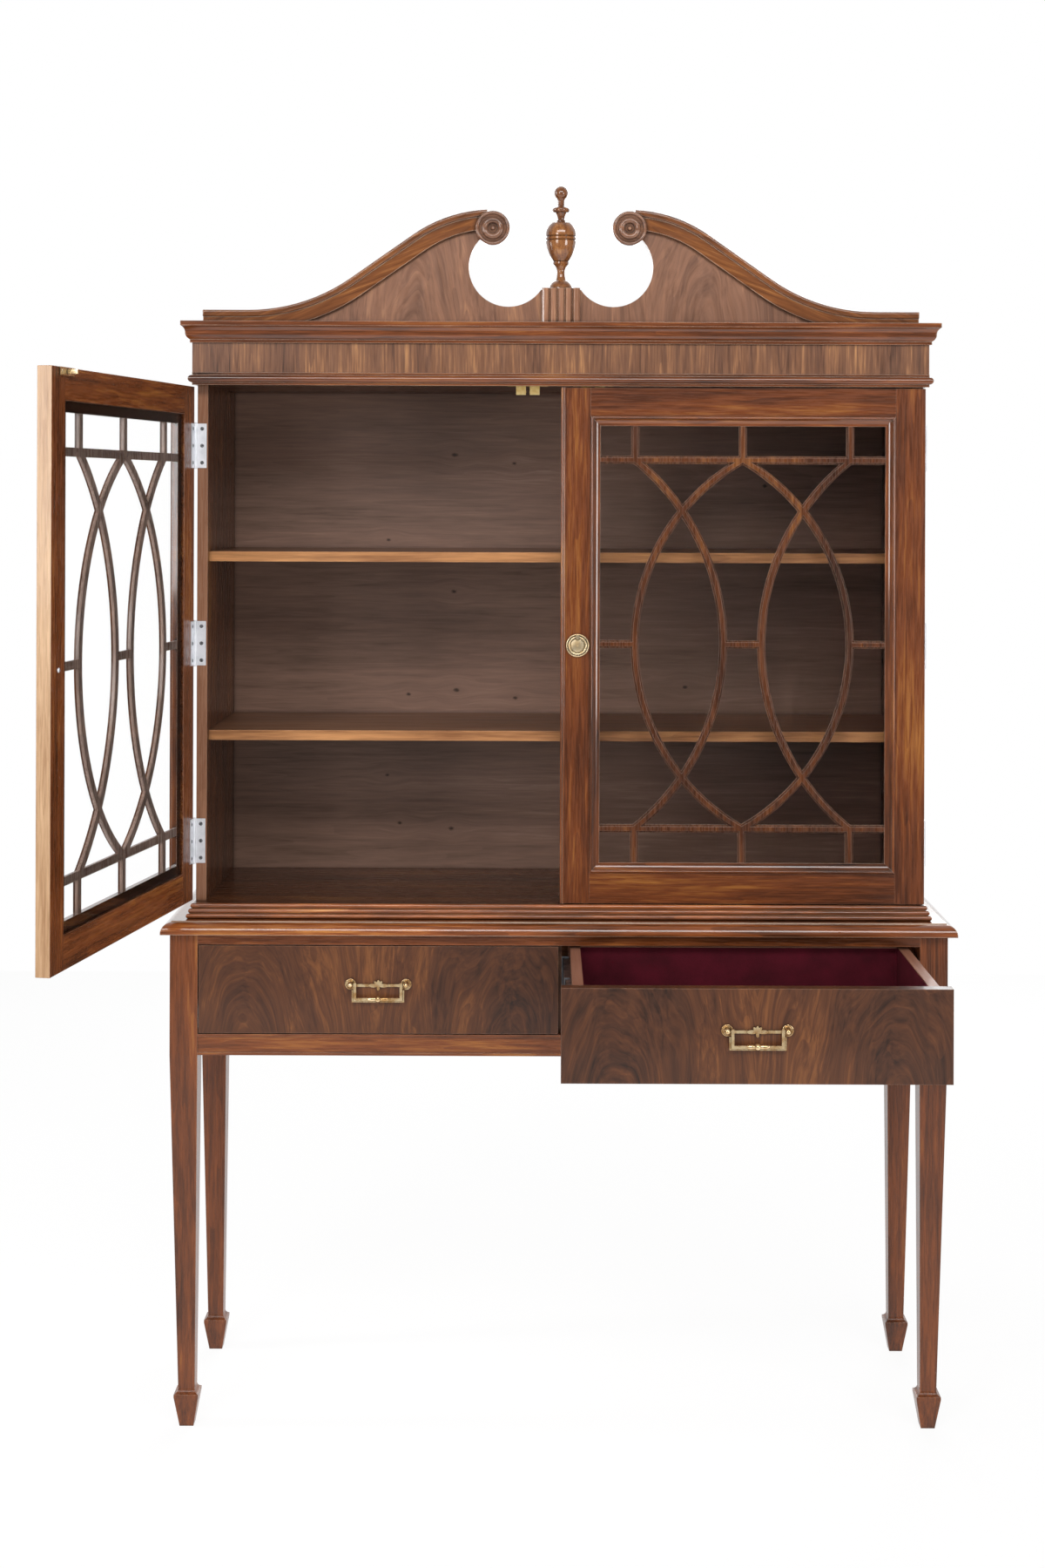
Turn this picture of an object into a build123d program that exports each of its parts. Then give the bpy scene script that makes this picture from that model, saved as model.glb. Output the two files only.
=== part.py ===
from build123d import *
import os
from math import atan2, cos, degrees, sin

os.makedirs("parts", exist_ok=True)

# Glazed display cabinet on a stand with two drawers, under a swan-neck pediment.
# The origin is on the floor, at the middle of the stand. +X is the viewer's right,
# +Y the back and +Z up. Every size is in millimetres.

# Stand: tapered legs on spade feet, rails and aprons
stand_width = 1175.0
stand_depth = 350.0
leg_height = 750.0
leg_top_side = 42.0
leg_taper_outer = 12.75
leg_taper_inner = 4.25
foot_height = 60.0
foot_cove_height = 10.0
foot_cove_depth = 2.2
foot_fillet_height = 4.0
foot_shoulder_side = 37.0
foot_sole_side = 21.0
top_rail_height = 17.0
bottom_rail_height = 32.0
rail_depth = 40.0
rail_bead_height = 4.0
rail_bead_projection = 1.5
apron_thickness = 20.0
apron_setback = 5.0

# Table top with a moulded edge on three sides
table_top_thickness = 19.0
table_side_overhang = 12.5
table_front_overhang = 16.0
table_back_overhang = 5.0
table_edge_fillet = 4.0
table_edge_rise = 13.0
table_edge_run = 13.0
table_edge_quirk = 1.5

# Drawers on telescopic side slides
drawer_front_height = 132.0
drawer_front_thickness = 20.0
drawer_gap = 1.5
drawer_side_thickness = 15.0
drawer_back_thickness = 15.0
drawer_bottom_thickness = 6.0
drawer_box_length = 292.0
drawer_box_drop = 3.0
drawer_box_lift = 10.0
drawer_bottom_rise = 8.0
drawer_groove = 5.0
lining_thickness = 1.2
lining_drop = 1.5
divider_thickness = 9.0
divider_setback = 1.0
batten_height = 50.0
batten_proud = 2.8
slide_height = 45.0
slide_thickness = 1.5
slide_gap = 12.7
slide_web_gap = 0.8
slide_running_gap = 0.3
slide_length = 290.0
slide_front_setback = 3.0
slide_centre_height = 80.0
right_drawer_pull = 278.0

# Drawer handles: a cast plate with two ball posts, and a drop bail between the posts
post_spacing = 84.0
handle_rise = 9.0
post_plate_radius = 8.2
post_plate_thickness = 2.8
post_rim_width = 1.6
post_neck_radius = 2.6
post_reach = 8.5
post_ball_radius = 4.3
handle_bar_height = 4.2
handle_bar_thickness = 2.6
handle_bar_drop = 2.0
palmette_thickness = 3.4
palmette_petal_length = 8.6
palmette_petal_width = 4.4
palmette_spread = 42.0
palmette_leaf_length = 15.0
palmette_leaf_width = 5.6
palmette_drop = 7.5
bail_width = 79.0
bail_drop = 26.0
bail_frame_width = 6.8
bail_frame_depth = 2.4
bail_frame_start = 7.5
bail_rib_width = 4.2
bail_rib_depth = 4.4
bail_knop_radius = 4.8
bail_leaf_radius = 3.0
bail_leaf_tip_radius = 1.5
bail_leaf_length = 13.0
bail_pin_radius = 1.3
bail_pin_length = 4.0
bail_pin_clearance = 0.05

# Upper case
case_half_width = 555.5
case_depth = 306.5
case_back_overhang = 3.0
case_side_thickness = 16.0
case_bottom_thickness = 22.0
case_top_thickness = 16.0
case_inside_height = 791.0
back_panel_thickness = 8.0
back_panel_rebate = 8.0
shelf_thickness = 15.4
shelf_groove = 5.0
shelf_setback = 18.5
shelf_lipping = 8.0
lower_shelf_height = 259.0
upper_shelf_height = 534.0

# Reeded waist moulding round the foot of the case
waist_reeds = 3
waist_projection = 10.5
waist_reed_step = 3.0
waist_reed_bulge = 2.6

# Astragal, frieze and cornice above the doors
astragal_drop = 3.0
astragal_projection = 10.5
astragal_fillet = 5.0
astragal_fillet_height = 4.0
frieze_outset = 4.5
frieze_height = 77.5
frieze_thickness = 16.0
top_board_thickness = 16.0
cornice_height = 32.5
cornice_projection = 16.0
cornice_top_fillet = 7.0
cornice_foot_fillet = 5.0
cornice_foot_projection = 3.5

# Pediment with swan necks, turned rosettes and an urn finial
pediment_setback = 9.0
pediment_thickness = 18.0
pediment_end_inset = 11.5
pediment_shoulder = 33.5
pediment_shoulder_height = 50.5
scoop_radius = 60.5
scoop_x = 80.0
scoop_height = 85.0
neck_top_height = 171.5
neck_flat_height = 17.7
neck_flat_length = 69.0
neck_straight = 116.8
neck_crown_share = 0.4375
neck_face_width = 30.0
neck_face_proud = 8.0
neck_bead_width = 10.0
neck_bead_proud = 4.0
neck_bead_round = 3.0
neck_edge_lap = 1.0
rosette_x = 104.0
rosette_radius = 26.0
rosette_drop = 2.5
rosette_lap = 8.0
rosette_seat_radius = 22.0
rosette_dish = 4.5
rosette_rim_width = 5.4
rosette_rim_rise = 2.5
rosette_ring_out = 17.0
rosette_ring_in = 8.0
rosette_ring_rise = 3.9
rosette_pit = 2.0
rosette_boss_radius = 3.4
rosette_boss_rise = 2.0
plinth_width = 57.5
plinth_depth = 42.0
plinth_height = 52.5
plinth_proud = 12.0
plinth_reeds = 5
plinth_reed_relief = 4.2
finial_base_radius = 17.7
finial_base_edge = 2.0
finial_foot_radius = 8.2
finial_foot_rise = 11.0
finial_foot_swell = 1.9
finial_stem_radius = 6.0
finial_stem_rise = 12.0
finial_collar_radius = 12.2
finial_collar_rise = 13.0
finial_collar_edge = 3.2
finial_hollow = 1.8
finial_urn_foot_radius = 10.8
finial_urn_radius = 23.3
finial_urn_rise = 31.3
finial_urn_swell = 2.6
finial_band_width = 2.6
finial_band_groove = 1.5
finial_shoulder_radius = 15.2
finial_shoulder_rise = 19.4
finial_throat_radius = 6.7
finial_throat_rise = 1.5
finial_throat_edge = 2.5
finial_neck_radius = 5.0
finial_neck_taper = 1.5
finial_ring_rise = 12.0
finial_ring_seat_radius = 8.8
finial_ring_radius = 13.4
finial_ring_thickness = 7.6
finial_ring_slope = 2.7
finial_neck_rise = 8.2
finial_ball_radius = 10.6
finial_ball_seat_radius = 6.6
finial_ball_seat_rise = 3.1
finial_spigot_radius = 5.0
finial_spigot_length = 16.0

# Doors: framed, with a moulding, one pane and glazing bars each
door_thickness = 19.5
door_gap = 2.2
door_top_clearance = 2.0
door_bottom_clearance = 1.5
door_meeting_gap = 2.0
door_stile_width = 45.0
door_top_rail_height = 43.0
door_bottom_rail_height = 46.5
left_door_open_angle = 100.0
glazing_width = 15.0
glazing_depth = 13.0
glazing_bead_width = 4.4
glazing_bead_proud = 2.6
glazing_quirk = 1.0
glazing_lip = 5.0
glazing_flat = 1.2
glass_thickness = 4.0
glass_clearance = 0.8
bar_width = 12.0
bar_depth = 8.0
bar_rib_width = 6.5
bar_flange_depth = 4.5
bar_post_length = 51.5
bar_side_tie = 53.25
bar_middle_tie = 58.0
meeting_bead_width = 7.0
meeting_bead_proud = 2.4
meeting_bead_valley = 0.8

# Butt hinges with fixed pins
hinge_height = 68.0
hinge_end_distance = 90.0
hinge_leaf_width = 14.0
hinge_leaf_thickness = 0.9
hinge_axis_offset = 2.9
hinge_barrel_radius = 2.6
hinge_pin_radius = 1.3
hinge_pin_clearance = 0.05
hinge_pin_head_radius = 2.2
hinge_pin_head = 1.4
hinge_knuckles = 5
hinge_knuckle_gap = 0.3

# Ring pulls on the meeting stiles
pull_plate_radius = 17.7
pull_plate_thickness = 1.4
pull_rim_width = 2.8
pull_dome_radius = 10.8
pull_dome_height = 2.6
pull_ring_radius = 13.05
pull_wire_radius = 1.45
pull_ring_lift = 0.8
pull_lug_radius = 3.3
pull_lug_wall = 1.6
pull_lug_clearance = 0.15

# Double ball catches under the case top, with tongues on the doors
catch_x = 50.0
catch_setback = 5.0
catch_plate_length = 62.0
catch_plate_width = 12.0
catch_plate_thickness = 2.0
catch_block_length = 15.0
catch_block_height = 13.0
catch_mouth = 6.0
catch_ball_radius = 2.5
catch_ball_proud = 0.8
strike_length = 48.0
strike_height = 11.0
strike_thickness = 1.5
tongue_thickness = 3.4
tongue_height = 6.0
tongue_reach = 16.0

# Levels and planes that follow from the sizes
front_y = -stand_depth / 2
back_y = stand_depth / 2
leg_inner_x = stand_width / 2 - leg_top_side
leg_inner_y = back_y - leg_top_side
drawer_top_z = leg_height - top_rail_height - drawer_gap
drawer_bottom_z = drawer_top_z - drawer_front_height
bottom_rail_top_z = drawer_bottom_z - drawer_gap
apron_bottom_z = bottom_rail_top_z - bottom_rail_height
table_top_z = leg_height + table_top_thickness
floor_z = table_top_z + case_bottom_thickness
ceiling_z = floor_z + case_inside_height
case_top_z = ceiling_z + case_top_thickness
case_back_y = back_y + case_back_overhang
case_front_y = case_back_y - case_depth
door_back_y = case_front_y - door_gap
door_front_y = door_back_y - door_thickness
case_inner_x = case_half_width - case_side_thickness
back_panel_y = case_back_y - back_panel_thickness
frieze_half_width = case_half_width + frieze_outset
frieze_front_y = door_front_y - frieze_outset
cornice_top_z = case_top_z + frieze_height
door_bottom_z = floor_z + door_bottom_clearance
door_top_z = ceiling_z - astragal_drop - door_top_clearance
pediment_front_y = frieze_front_y + pediment_setback
beyond = 2 * stand_width


def board(x0, x1, y0, y1, z0, z1):
    """A straight board between six planes."""
    middle = Pos((x0 + x1) / 2, (y0 + y1) / 2, (z0 + z1) / 2)
    return middle * Box(x1 - x0, y1 - y0, z1 - z0)


def left_of(piece):
    """The left-hand twin of a right-hand piece."""
    return mirror(piece, about=Plane.YZ)


def pair(piece):
    """A right-hand piece with its left-hand twin."""
    return piece.solids() + left_of(piece).solids()


def facing_front(x, y, z):
    """A plane at a point, drawn as seen from the front: x right, y up, depth towards the viewer."""
    return Plane((x, y, z), x_dir=(1, 0, 0), z_dir=(0, -1, 0))


def prism(edges, plane, depth):
    """The outline's face on a plane, thickened both ways by the depth."""
    return extrude(plane * make_face(edges), depth, both=True)


def slab(edges, plane, depth):
    """The outline's face on a plane, thickened by the depth along the plane's normal."""
    return extrude(plane * make_face(edges), depth, dir=plane.z_dir)


def turning(edges):
    """A turned piece whose half outline is drawn as radius across and height up."""
    return revolve(Plane.XZ * make_face(edges), Axis.Z)


def save(node, *pieces):
    """Each node's solids go to a file of their own."""
    solids = [solid for piece in pieces for solid in piece.solids()]
    export_step(Compound(solids), f"parts/{node}.step")


def three_sided(section, half_width, face_y):
    """A moulding along the front and both sides, mitred at the front corners.

    The section is drawn with its run outwards from the face and its height above the floor.
    """
    front_plane = Plane((0, face_y, 0), x_dir=(0, -1, 0), z_dir=(-1, 0, 0))
    side_plane = Plane((half_width, 0, 0), x_dir=(1, 0, 0), z_dir=(0, -1, 0))
    corner = (half_width, face_y)
    far_corner = (half_width + beyond, face_y - beyond)
    front_plan = Polyline(
        (-half_width, face_y), corner, far_corner, (-half_width - beyond, face_y - beyond), close=True
    )
    side_plan = Polyline(
        corner, far_corner, (half_width + beyond, case_back_y), (half_width, case_back_y), close=True
    )
    front = prism(section, front_plane, beyond) & prism(front_plan.edges(), Plane.XY, beyond)
    side = prism(section, side_plane, beyond) & prism(side_plan.edges(), Plane.XY, beyond)
    return front.solids() + pair(side)


# Legs, each cut from one post with its spade foot
ankle_out = leg_taper_outer
ankle_in = leg_top_side - leg_taper_inner
ankle_middle = (ankle_out + ankle_in) / 2
shoulder_out = ankle_middle - foot_shoulder_side / 2
shoulder_in = ankle_middle + foot_shoulder_side / 2
sole_out = ankle_middle - foot_sole_side / 2
sole_in = ankle_middle + foot_sole_side / 2
shoulder_z = foot_height - foot_cove_height
leg_sight = (
    Polyline(
        (shoulder_in, shoulder_z),
        (shoulder_in, shoulder_z - foot_fillet_height),
        (sole_in, 0),
        (sole_out, 0),
        (shoulder_out, shoulder_z - foot_fillet_height),
        (shoulder_out, shoulder_z),
    )
    + SagittaArc((shoulder_out, shoulder_z), (ankle_out, foot_height), -foot_cove_depth)
    + Polyline(
        (ankle_out, foot_height),
        (0, apron_bottom_z),
        (0, leg_height),
        (leg_top_side, leg_height),
        (leg_top_side, apron_bottom_z),
        (ankle_in, foot_height),
    )
    + SagittaArc((ankle_in, foot_height), (shoulder_in, shoulder_z), -foot_cove_depth)
)
front_sight = Plane((-stand_width / 2, 0, 0), x_dir=(1, 0, 0), z_dir=(0, -1, 0))
side_sight = Plane((0, front_y, 0), x_dir=(0, 1, 0), z_dir=(1, 0, 0))
leg_from_front = prism(leg_sight.edges(), front_sight, beyond)
leg_from_side = prism(leg_sight.edges(), side_sight, beyond)
leg_front_left = leg_from_front & leg_from_side
leg_rear_left = mirror(leg_front_left, about=Plane.XZ)
save("leg_front_left", leg_front_left)
save("leg_front_right", left_of(leg_front_left))
save("leg_rear_left", leg_rear_left)
save("leg_rear_right", left_of(leg_rear_left))

# Front rails above and below the drawers, the lower one with a bead along both edges
rail_back_y = front_y + rail_depth
top_rail = board(-leg_inner_x, leg_inner_x, front_y, rail_back_y, drawer_top_z + drawer_gap, leg_height)
rail_face_y = front_y + rail_bead_projection
bottom_rail = board(-leg_inner_x, leg_inner_x, rail_face_y, rail_back_y, apron_bottom_z, bottom_rail_top_z)
for bead_z in (apron_bottom_z, bottom_rail_top_z - rail_bead_height):
    bottom_rail += board(-leg_inner_x, leg_inner_x, front_y, rail_face_y, bead_z, bead_z + rail_bead_height)
save("front_rails", top_rail, bottom_rail)

# Aprons at the sides and back, and the battens that carry the outer slides
apron_outer_x = stand_width / 2 - apron_setback
apron_inner_x = apron_outer_x - apron_thickness
side_apron = board(apron_inner_x, apron_outer_x, -leg_inner_y, leg_inner_y, apron_bottom_z, leg_height)
rear_apron_back_y = back_y - apron_setback
rear_apron_y = rear_apron_back_y - apron_thickness
rear_apron = board(-leg_inner_x, leg_inner_x, rear_apron_y, rear_apron_back_y, apron_bottom_z, leg_height)
save("aprons", *pair(side_apron), rear_apron)

slide_z = drawer_bottom_z + drawer_box_lift + slide_centre_height
batten_x = leg_inner_x - batten_proud
batten_low = slide_z - batten_height / 2
batten = board(batten_x, apron_inner_x, -leg_inner_y, leg_inner_y, batten_low, batten_low + batten_height)
save("slide_battens", *pair(batten))

divider_y = front_y + drawer_front_thickness + divider_setback
drawer_divider = board(
    -divider_thickness / 2,
    divider_thickness / 2,
    divider_y,
    rear_apron_y,
    bottom_rail_top_z,
    drawer_top_z + drawer_gap,
)
save("drawer_divider", drawer_divider)

# Table top, moulded along the front and both ends
table_half_width = stand_width / 2 + table_side_overhang
table_front_y = front_y - table_front_overhang
table_back_y = back_y + table_back_overhang


def table_edge(reach):
    """The moulded edge of the table top, drawn from its lower corner up to its upper face."""
    ovolo_top = leg_height + table_edge_fillet + table_edge_rise
    ovolo_start = (reach, leg_height + table_edge_fillet)
    ovolo_end = (reach - table_edge_run, ovolo_top)
    inner = reach - table_edge_run - table_edge_quirk
    return (
        Line((reach, leg_height), ovolo_start)
        + SagittaArc(ovolo_start, ovolo_end, -table_edge_run / 4)
        + Polyline(ovolo_end, (inner, ovolo_top), (inner, table_top_z))
    )


end_reach = table_half_width - table_edge_run - table_edge_quirk
front_reach = -table_front_y - table_edge_run - table_edge_quirk
end_edge = table_edge(table_half_width)
across = (
    end_edge
    + mirror(end_edge, about=Plane.YZ)
    + Line((end_reach, table_top_z), (-end_reach, table_top_z))
    + Line((table_half_width, leg_height), (-table_half_width, leg_height))
)
along = table_edge(-table_front_y) + Polyline(
    (front_reach, table_top_z),
    (-table_back_y, table_top_z),
    (-table_back_y, leg_height),
    (-table_front_y, leg_height),
)
front_looking = Plane((0, 0, 0), x_dir=(0, -1, 0), z_dir=(-1, 0, 0))
table_top = prism(across.edges(), Plane.XZ, beyond) & prism(along.edges(), front_looking, beyond)
save("table_top", table_top)

# Upper case: floor and top boards, grooved sides, back panel and lipped shelves
case_bottom = board(-case_half_width, case_half_width, door_front_y, case_back_y, table_top_z, floor_z)
case_top = board(-case_half_width, case_half_width, door_front_y, case_back_y, ceiling_z, case_top_z)
save("case_bottom", case_bottom)
save("case_top", case_top)

panel_half_width = case_inner_x + back_panel_rebate
back_panel = board(-panel_half_width, panel_half_width, back_panel_y, case_back_y, floor_z, ceiling_z)
save("back_panel", back_panel)

case_side = board(case_inner_x, case_half_width, case_front_y, case_back_y, floor_z, ceiling_z) - back_panel
shelf_y = case_front_y + shelf_setback
for node, height in (("shelf_lower", lower_shelf_height), ("shelf_upper", upper_shelf_height)):
    shelf_half = case_inner_x + shelf_groove
    shelf_top = floor_z + height
    shelf_low = shelf_top - shelf_thickness
    shelf_lip_y = shelf_y + shelf_lipping
    lipping = board(-shelf_half, shelf_half, shelf_y, shelf_lip_y, shelf_low, shelf_top)
    shelf = board(-shelf_half, shelf_half, shelf_lip_y, back_panel_y, shelf_low, shelf_top)
    case_side = case_side - shelf - lipping
    save(node, shelf, lipping)
save("case_side_right", case_side)
save("case_side_left", left_of(case_side))

# Waist moulding: reeds that step back as they rise
reed_height = case_bottom_thickness / waist_reeds
waist_section = Line((0, floor_z), (0, table_top_z))
waist_foot = (0, table_top_z)
for reed in range(waist_reeds):
    reed_out = waist_projection - reed * waist_reed_step
    reed_in = reed_out - waist_reed_bulge
    low = table_top_z + reed * reed_height
    high = low + reed_height
    waist_section += Line(waist_foot, (reed_in, low))
    waist_section += ThreePointArc((reed_in, low), (reed_out, (low + high) / 2), (reed_in, high))
    waist_foot = (reed_in, high)
waist_section += Line(waist_foot, (0, floor_z))
save("waist_moulding", *three_sided(waist_section.edges(), case_half_width, door_front_y))

# Astragal between the doors and the frieze: a half round between two fillets
astragal_low = ceiling_z - astragal_drop
bead_low = astragal_low + astragal_fillet_height
bead_high = case_top_z - astragal_fillet_height
bead_crest = (astragal_projection, (bead_low + bead_high) / 2)
astragal_section = Polyline(
    (astragal_fillet, bead_high),
    (astragal_fillet, case_top_z),
    (0, case_top_z),
    (0, astragal_low),
    (astragal_fillet, astragal_low),
    (astragal_fillet, bead_low),
) + ThreePointArc((astragal_fillet, bead_low), bead_crest, (astragal_fillet, bead_high))
save("astragal_moulding", *three_sided(astragal_section.edges(), case_half_width, door_front_y))

# Frieze box on the case top, closed by a board
frieze_back_face = frieze_front_y + frieze_thickness
frieze_inner_x = frieze_half_width - frieze_thickness
frieze_rear_y = case_back_y - frieze_thickness
frieze_front = board(
    -frieze_half_width, frieze_half_width, frieze_front_y, frieze_back_face, case_top_z, cornice_top_z
)
frieze_side = board(
    frieze_inner_x, frieze_half_width, frieze_back_face, case_back_y, case_top_z, cornice_top_z
)
frieze_rear = board(-frieze_inner_x, frieze_inner_x, frieze_rear_y, case_back_y, case_top_z, cornice_top_z)
save("frieze", frieze_front, *pair(frieze_side), frieze_rear)
top_board = board(
    -frieze_inner_x,
    frieze_inner_x,
    frieze_back_face,
    frieze_rear_y,
    cornice_top_z - top_board_thickness,
    cornice_top_z,
)
save("top_board", top_board)

# Cornice: a foot fillet, a hollow swelling into a round, and a square top fillet
cornice_low = cornice_top_z - cornice_height
foot_top = cornice_low + cornice_foot_fillet
fillet_low = cornice_top_z - cornice_top_fillet
swell_middle = ((cornice_foot_projection + cornice_projection) / 2, (foot_top + fillet_low) / 2)
cornice_section = (
    Polyline(
        (cornice_projection, fillet_low), (cornice_projection, cornice_top_z), (0, cornice_top_z),
        (0, cornice_low), (cornice_foot_projection, cornice_low), (cornice_foot_projection, foot_top),
    )
    + SagittaArc((cornice_foot_projection, foot_top), swell_middle, -cornice_foot_projection / 2)
    + SagittaArc(swell_middle, (cornice_projection, fillet_low), cornice_foot_projection / 2)
)
save("cornice", *three_sided(cornice_section.edges(), frieze_half_width, frieze_front_y))

# Pediment board and swan necks. Both follow one line: a flat, an arc up, a straight and an arc over.
pediment_end_x = -case_half_width + pediment_end_inset
neck_start_x = pediment_end_x + neck_flat_length
neck_flat_z = cornice_top_z + neck_flat_height
neck_run = -rosette_x - neck_start_x
neck_rise = neck_top_height - neck_flat_height
neck_turn = 2 * atan2(neck_rise, neck_run + neck_straight)
neck_angle = degrees(neck_turn)
neck_radii = (neck_run - neck_straight * cos(neck_turn)) / sin(neck_turn)
neck_crown_radius = neck_radii * neck_crown_share
neck_foot_radius = neck_radii - neck_crown_radius


def neck_line(drop):
    """The neck's line, at a distance below its top edge, from the outer end to the rosette."""
    flat = Line((pediment_end_x, neck_flat_z - drop), (neck_start_x, neck_flat_z - drop))
    foot = JernArc(flat @ 1, (1, 0), neck_foot_radius + drop, neck_angle)
    slope = Line(foot @ 1, foot @ 1 + (foot % 1) * neck_straight)
    crown = JernArc(slope @ 1, slope % 1, neck_crown_radius - drop, -neck_angle)
    return flat + foot + slope + crown


def neck_band(top_drop, low_drop):
    """The edges of a strip between two distances below the neck's top edge."""
    upper = neck_line(top_drop)
    lower = neck_line(low_drop)
    neck_end_z = cornice_top_z + neck_top_height
    return upper.edges() + lower.edges() + [
        Line((pediment_end_x, neck_flat_z - top_drop), (pediment_end_x, neck_flat_z - low_drop)),
        Line((-rosette_x, neck_end_z - top_drop), (-rosette_x, neck_end_z - low_drop)),
    ]


pediment_back_y = pediment_front_y + pediment_thickness
rosette_z = cornice_top_z + neck_top_height - rosette_radius - rosette_drop
neck_cut = board(-rosette_x - rosette_lap, 0, -beyond, beyond, rosette_z, rosette_z + beyond)
rosette_seat_y = pediment_front_y - neck_face_proud
above_cornice = board(-beyond, 0, -beyond, beyond, cornice_top_z, cornice_top_z + beyond)
board_plane = facing_front(0, pediment_back_y, 0)
board_end_z = cornice_top_z + neck_top_height - neck_edge_lap
board_line = neck_line(neck_edge_lap).edges() + Polyline(
    (-rosette_x, board_end_z),
    (-rosette_x, cornice_top_z),
    (pediment_end_x, cornice_top_z),
    (pediment_end_x, neck_flat_z - neck_edge_lap),
).edges()
half_board = slab(board_line, board_plane, pediment_thickness)
shoulder_top = cornice_top_z + pediment_shoulder_height
half_board += board(-rosette_x, 0, pediment_front_y, pediment_back_y, cornice_top_z, shoulder_top)
scoop_z = cornice_top_z + scoop_height
scoop = facing_front(-scoop_x, 0, scoop_z) * Cylinder(scoop_radius, beyond)
shoulder_gap = board(-pediment_shoulder, 0, -beyond, beyond, shoulder_top, shoulder_top + beyond)
plinth_front_y = pediment_front_y - plinth_proud
plinth_back_y = plinth_front_y + plinth_depth
plinth_half = plinth_width / 2
plinth_block = board(
    -plinth_half, plinth_half, plinth_front_y, plinth_back_y, cornice_top_z, cornice_top_z + plinth_height
)
half_board = half_board - neck_cut - scoop - shoulder_gap - plinth_block
save("pediment_board", *half_board.solids(), *mirror(half_board, about=Plane.YZ).solids())

neck_face = slab(neck_band(0, neck_face_width), facing_front(0, pediment_front_y, 0), neck_face_proud)
neck_bead = slab(neck_band(0, neck_bead_width), facing_front(0, rosette_seat_y, 0), neck_bead_proud)
bead_front = neck_bead.faces().sort_by(Axis.Y)[0]
bead_edges = bead_front.edges().filter_by(lambda edge: edge.length > 1.5 * neck_bead_width)
neck_bead = fillet(bead_edges, neck_bead_round)
rosette_plane = facing_front(-rosette_x, rosette_seat_y, rosette_z)
rosette_room = rosette_plane * Pos(0, 0, neck_bead_proud) * Cylinder(rosette_radius, 2 * neck_bead_proud)
rosette_seat = facing_front(-rosette_x, pediment_front_y - neck_face_proud / 2, rosette_z) * Cylinder(
    rosette_seat_radius, neck_face_proud
)
swan_neck = ((neck_face + (neck_bead - rosette_room)) & above_cornice) - neck_cut + rosette_seat
save("swan_necks", *pair(swan_neck))

# Rosettes: turned discs with a rim bead, a ring, and a button in the pit inside the ring
rosette_rim_in = rosette_radius - rosette_rim_width
rim_crest = (rosette_radius - rosette_rim_width / 2, rosette_dish + rosette_rim_rise)
ring_crest = ((rosette_ring_out + rosette_ring_in) / 2, rosette_dish + rosette_ring_rise)
pit_z = rosette_dish - rosette_pit
boss_edge = (rosette_boss_radius, pit_z)
rosette_top = rosette_dish + rosette_boss_rise
rosette_outline = (
    Polyline((0, rosette_top), (0, 0), (rosette_radius, 0), (rosette_radius, rosette_dish))
    + ThreePointArc((rosette_radius, rosette_dish), rim_crest, (rosette_rim_in, rosette_dish))
    + Line((rosette_rim_in, rosette_dish), (rosette_ring_out, rosette_dish))
    + ThreePointArc((rosette_ring_out, rosette_dish), ring_crest, (rosette_ring_in, rosette_dish))
    + Polyline((rosette_ring_in, rosette_dish), (rosette_ring_in, pit_z), boss_edge)
    + TangentArc((0, rosette_top), boss_edge, tangent=(1, 0))
)
rosette = rosette_plane * turning(rosette_outline.edges())
save("rosettes", *pair(rosette))

# Reeded plinth with the turned urn finial doweled into its top
reed_pitch = plinth_width / plinth_reeds
plinth = plinth_block
for reed in range(plinth_reeds + 1):
    groove_x = -plinth_half + reed * reed_pitch
    groove = Pos(groove_x, plinth_front_y, cornice_top_z + plinth_height / 2) * Rot(0, 0, 45) * Box(
        plinth_reed_relief, plinth_reed_relief, plinth_height
    )
    plinth -= groove
finial_y = (plinth_front_y + plinth_back_y) / 2
finial_z = cornice_top_z + plinth_height
dowel_z = finial_z - finial_spigot_length / 2
dowel = Pos(0, finial_y, dowel_z) * Cylinder(finial_spigot_radius, finial_spigot_length)
save("finial_plinth", plinth - dowel)


def bowed(start, end, bow):
    """An arc between two points of a turning, bowed outwards, or inwards where the bow is negative."""
    chord = Line(start, end)
    across = chord % 0.5
    middle = chord @ 0.5
    return ThreePointArc(start, middle + Vector(across.Y, -across.X) * bow, end)


base_rim = (finial_base_radius, finial_base_edge)
foot_z = finial_base_edge + finial_foot_rise
finial_foot = (finial_foot_radius, foot_z)
stem_z = foot_z + finial_stem_rise
stem = (finial_stem_radius, stem_z)
collar_z = stem_z + finial_collar_rise
collar = (finial_collar_radius, collar_z)
urn_z = collar_z + finial_collar_edge
urn_foot = (finial_urn_foot_radius, urn_z)
band_z = urn_z + finial_urn_rise
groove_radius = finial_urn_radius - finial_band_groove
upper_groove_z = band_z + 2 * finial_band_groove + finial_band_width
band_end_z = upper_groove_z + 2 * finial_band_groove
urn_top_z = band_end_z + finial_shoulder_rise
shoulder = (finial_shoulder_radius, urn_top_z)
throat_z = urn_top_z + finial_throat_rise
throat_top_z = throat_z + finial_throat_edge
neck_foot = (finial_neck_radius, throat_top_z + finial_neck_taper)
ring_z = throat_top_z + finial_ring_rise
ring_low = (finial_ring_seat_radius, ring_z)
finial_ring_crest = (finial_ring_radius, ring_z + finial_ring_thickness / 2)
ring_top_z = ring_z + finial_ring_thickness
ring_high = (finial_ring_seat_radius, ring_top_z)
neck_low_z = ring_top_z + finial_ring_slope
neck_high_z = neck_low_z + finial_neck_rise
ball_seat_z = neck_high_z + finial_ball_seat_rise
ball_seat = (finial_ball_seat_radius, ball_seat_z)
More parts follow.
